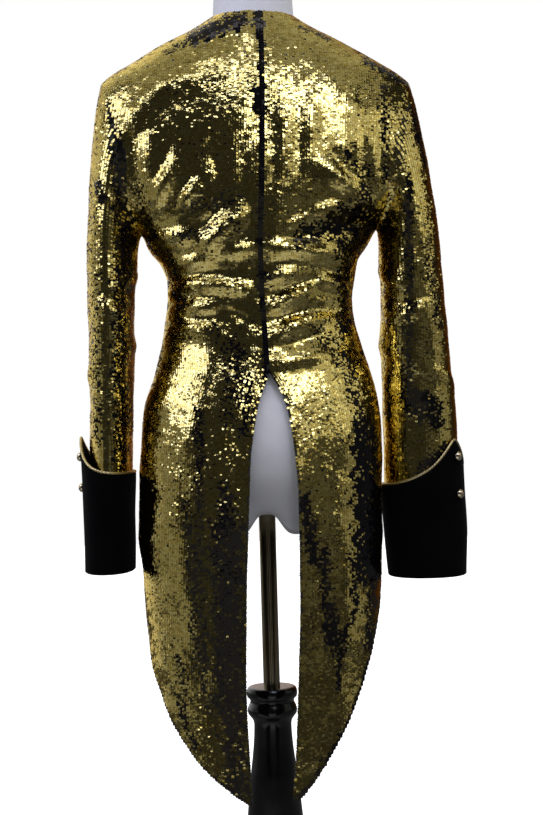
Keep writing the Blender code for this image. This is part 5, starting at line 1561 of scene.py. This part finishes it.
CUFF_CLOTHS = {-1: ((0.345, 0.176), 0.0446), 1: ((0.360, 0.176), 0.0438)}
cuff_tops = {}
for side, word in SIDES:
    turns = np.pi * (1 - 2 * np.arange(CUFF_COLUMNS + 1) / CUFF_COLUMNS)
    rises = np.linspace(0, 1, CUFF_ROWS + 1)
    face = cuff_point(side, turns[None, :], rises[:, None])
    normals = unit(tube_normals(face, side) * (1, 1, CUFF_LEVELLING))
    flat = lay_flat(face, 0, CUFF_COLUMNS // 2)
    cuff = cloth_wall(f"velvet_cuff_{word}", face, normals, VELVET, True, velvet, flat)
    cuff_tops[side] = (face[-1], normals[-1])
    finish_piece(cuff, "velvet", f"cuff_{word}")
    flat, area = CUFF_CLOTHS[side]

# Piping. A gold metal thread twisted round a soft cord and sewn along the cuffs' top edges, so
# its strands wind round it.
PIPING_RADIUS = 0.0018
PIPING_SIDES, PIPING_STEPS = 14, 760
TWIST_STRANDS, TWIST_LENGTH, TWIST_DEPTH = 3, 0.0042, 0.16

gold_thread, tree, shader = start_material("gold_metal_thread", {"Metallic": 1.0})
strands = object_noise(tree, 1400.0, 2.0)
thread = {
    "Base Color": mix_colours(tree, strands, (0.72, 0.55, 0.22, 1), (0.90, 0.78, 0.46, 1)),
    "Roughness": carry_over(tree, strands, wanted=(0.30, 0.5)),
    "Normal": add_bump(tree, strands, 0.0003, 0.6),
}
set_inputs(shader, thread)


def along_loop(wanted, run, values):
    """Values round a closed loop, read at the wanted lengths of its run."""
    closed = np.concatenate((values, values[:1]))
    return np.stack([np.interp(wanted, run, closed[:, axis]) for axis in range(3)], axis=-1)


for side, word in SIDES:
    edge, normals = (row[:-1] for row in cuff_tops[side])
    line = edge - normals * VELVET / 2
    steps = np.linalg.norm(np.roll(line, -1, axis=0) - line, axis=1)
    run = np.concatenate(((0,), np.cumsum(steps)))
    wanted = np.arange(PIPING_STEPS) / PIPING_STEPS * run[-1]
    centre = along_loop(wanted, run, line)
    across = unit(along_loop(wanted, run, normals))
    heading = unit(np.roll(centre, -1, axis=0) - np.roll(centre, 1, axis=0))
    upward = unit(np.cross(heading, across))
    upward *= np.sign(upward[:, 2:3])
    centre = centre + upward * (PIPING_RADIUS + SEAT_GAP)
    turns = full_turn(PIPING_SIDES)[:, None]
    winds = round(run[-1] / TWIST_LENGTH) / run[-1] * 2 * np.pi
    phase = TWIST_STRANDS * turns.T - (winds * wanted)[:, None]
    reach = PIPING_RADIUS * (1 - TWIST_DEPTH * np.abs(np.sin(phase / 2)) ** 3)
    round_it = across[:, None, :] * np.cos(turns) + upward[:, None, :] * np.sin(turns)
    points = centre[:, None, :] + round_it * reach[..., None]
    faces = grid_faces(PIPING_STEPS, PIPING_SIDES, rows_meet=True, columns_meet=True)
    piping = add_mesh(f"cuff_piping_cord_{word}", points.reshape(-1, 3), faces, gold_thread)
    close_shell(piping.data, False)
    finish_piece(piping, "gold_piping", f"cuff_piping_{word}")

# Buttons. Hollow metal balls, slightly flattened, polished and plated pale gold, two on each cuff
# under its peak, sewn on through a shank inside the velvet.
BUTTON_RADIUS, BUTTON_HEIGHT = 0.0060, 0.0084
BUTTON_SIDES, BUTTON_RINGS = 48, 22
BUTTON_WIDEST, BUTTON_DOME = 0.40, 1.5
BUTTON_FOOT, BUTTON_CROWN = math.radians(63), math.radians(88)
plating, tree, shader = start_material("pale_gold_plating", {"Metallic": 1.0})
wear = object_noise(tree, 260.0, 3.0)
set_inputs(shader, {"Base Color": mix_colours(tree, wear, (0.88, 0.78, 0.58, 1), (0.80, 0.66, 0.42, 1))})
add_handling(tree, shader, 220.0, 0.07, 0.18, 0.00003)

for side, word in SIDES:
    for level in ("upper", "lower"):
        node = f"cuff_button_{level}_{word}"
        low, high = np.array(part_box(node))
        centre = (low + high) / 2
        row = CUFFS[side][2]
        away = centre - oval_centre(CUFFS[side], side, np.array(centre[2]))
        normal = unit(away / (row.half_x**2, row.half_y**2, 1) * (1, 1, 0))
        foot = centre - normal * BUTTON_HEIGHT / 2
        up = np.array((0.0, 0.0, 1.0))
        spins = full_turn(BUTTON_SIDES)[:, None]
        circle = np.cross(normal, up) * np.cos(spins) + up * np.sin(spins)
        rings = []
        for angle in np.linspace(-BUTTON_FOOT, BUTTON_CROWN, BUTTON_RINGS):
            lift = math.sin(angle) * BUTTON_DOME if angle > 0 else math.sin(angle) / math.sin(BUTTON_FOOT)
            height = BUTTON_WIDEST * (1 + lift) * BUTTON_HEIGHT
            rings.append(foot + normal * height + circle * math.cos(angle) * BUTTON_RADIUS)
        button = add_mesh(f"ball_button_{level}_{word}", *skin_rings(rings), plating)
        close_shell(button.data, False)
        finish_piece(button, "button_metal", node)
